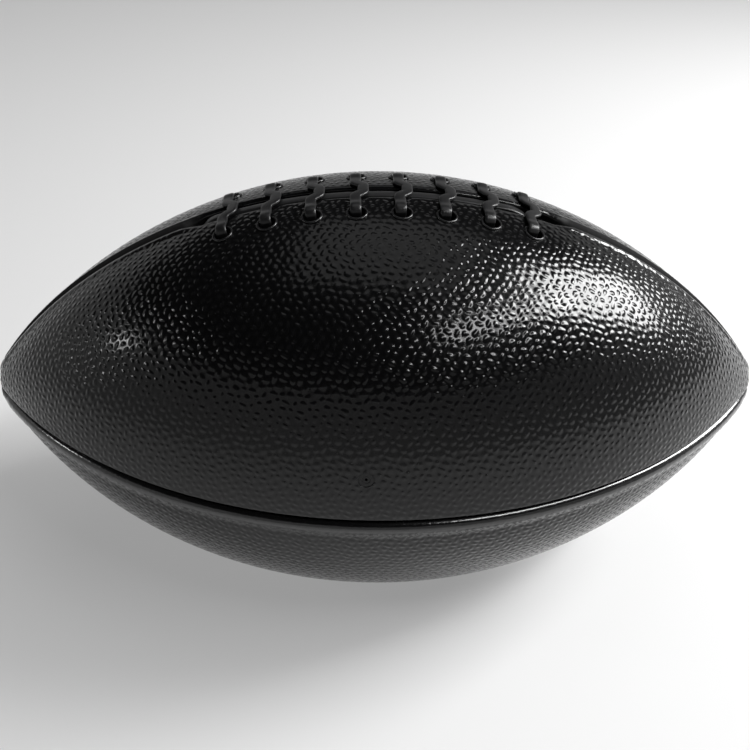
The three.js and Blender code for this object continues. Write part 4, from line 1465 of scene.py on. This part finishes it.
class FOOTBALL_OT_stage(Operator):
    """Makes the floor, the lamps and the camera"""

    bl_idname = "football.stage"
    bl_label = "Stage"

    sensor = 36
    segments = 96
    sweep_steps = 12

    def execute(self, context):
        settings = context.scene.football
        scene = context.scene
        scene.view_settings.view_transform = "Standard"
        centre = Vector((0, 0, Form(settings).centre))
        self.floor(settings)
        self.camera(scene, settings.stage, centre)
        for name in LAMPS:
            self.lamp(name, getattr(settings, name), centre, settings.stage.lamp_distance)
        self.world(scene, settings.stage)
        return {"FINISHED"}

    def floor(self, settings):
        """A level floor that sweeps up into a wall all round."""
        stage = settings.stage
        sweep_centre = (stage.floor_radius, stage.sweep_radius)
        profile = [
            (0, 0),
            *arc(sweep_centre, stage.sweep_radius, -90, 0, self.sweep_steps),
            (stage.floor_radius + stage.sweep_radius, stage.wall_height),
        ]
        shape = turned_shape(profile, Matrix(), self.segments, closed=False)
        add_object("floor", shape, floor_finish(settings))

    def camera(self, scene, stage, centre):
        data = bpy.data.cameras.new("camera")
        data.sensor_width = self.sensor
        data.lens = stage.focal / stage.image * self.sensor
        data.shift_x = 0.5 - stage.middle_x / stage.image
        data.shift_y = stage.middle_y / stage.image - 0.5
        back = direction(stage.yaw, stage.elevation)
        right = Vector((math.cos(stage.yaw), math.sin(stage.yaw), 0))
        up = back.cross(right)
        axes = Matrix((right, up, back)).transposed() @ Matrix.Rotation(stage.roll, 3, "Z")
        camera = bpy.data.objects.new("camera", data)
        camera.matrix_world = Matrix.Translation(centre + back * stage.distance) @ axes.to_4x4()
        bpy.context.collection.objects.link(camera)
        scene.camera = camera

    def lamp(self, name, lamp, centre, distance):
        """A rectangular lamp that shines at the ball's centre."""
        data = bpy.data.lights.new(name, "AREA")
        data.shape = "RECTANGLE"
        data.size = lamp.width
        data.size_y = lamp.height
        data.energy = lamp.power
        away = direction(lamp.turn, lamp.rise)
        roll = Quaternion((0, 0, 1), lamp.roll)
        light = bpy.data.objects.new(name, data)
        light.location = centre + away * distance
        light.rotation_euler = (away.to_track_quat("Z", "Y") @ roll).to_euler()
        bpy.context.collection.objects.link(light)

    def world(self, scene, stage):
        world = bpy.data.worlds.new("studio")
        world.use_nodes = True
        light = world.node_tree.nodes["Background"]
        light.inputs["Color"].default_value = (1, 1, 1, 1)
        light.inputs["Strength"].default_value = stage.world
        scene.world = world


def direction(turn, rise):
    """Away from the ball: turn goes from the camera's side to the right, rise above the horizon."""
    level = math.cos(rise)
    return Vector((math.sin(turn) * level, -math.cos(turn) * level, math.sin(rise)))


# Sidebar and registration

OPERATORS = (
    FOOTBALL_OT_stage,
    FOOTBALL_OT_panels,
    FOOTBALL_OT_linings,
    FOOTBALL_OT_bladder,
    FOOTBALL_OT_guard,
    FOOTBALL_OT_threads,
    FOOTBALL_OT_lace,
    FOOTBALL_OT_eyelets,
    FOOTBALL_OT_valve,
)


class FOOTBALL_PT_sidebar(Panel):
    """The football's settings and pieces"""

    bl_label = "Football"
    bl_idname = "FOOTBALL_PT_sidebar"
    bl_space_type = "VIEW_3D"
    bl_region_type = "UI"
    bl_category = "Football"

    def draw(self, context):
        settings = context.scene.football
        for operator in OPERATORS:
            self.layout.operator(operator.bl_idname)
        for name in settings.__annotations__:
            group = getattr(settings, name)
            box = self.layout.box()
            box.label(text=settings.bl_rna.properties[name].name)
            for setting in group.__annotations__:
                box.prop(group, setting)


CLASSES = (
    BallSizes,
    LacingSizes,
    ValveSizes,
    FinishColours,
    StageSettings,
    KeyLamp,
    FrontLamp,
    TopLamp,
    SideLamp,
    FootballSettings,
    *OPERATORS,
    FOOTBALL_PT_sidebar,
)


def register():
    for cls in CLASSES:
        bpy.utils.register_class(cls)
    bpy.types.Scene.football = PointerProperty(type=FootballSettings)


def unregister():
    del bpy.types.Scene.football
    for cls in reversed(CLASSES):
        bpy.utils.unregister_class(cls)


def main():
    register()
    bpy.ops.football.stage()
    bpy.ops.football.panels()
    bpy.ops.football.linings()
    bpy.ops.football.bladder()
    bpy.ops.football.guard()
    bpy.ops.football.threads()
    bpy.ops.football.lace()
    bpy.ops.football.eyelets()
    bpy.ops.football.valve()


if __name__ == "__main__":
    main()
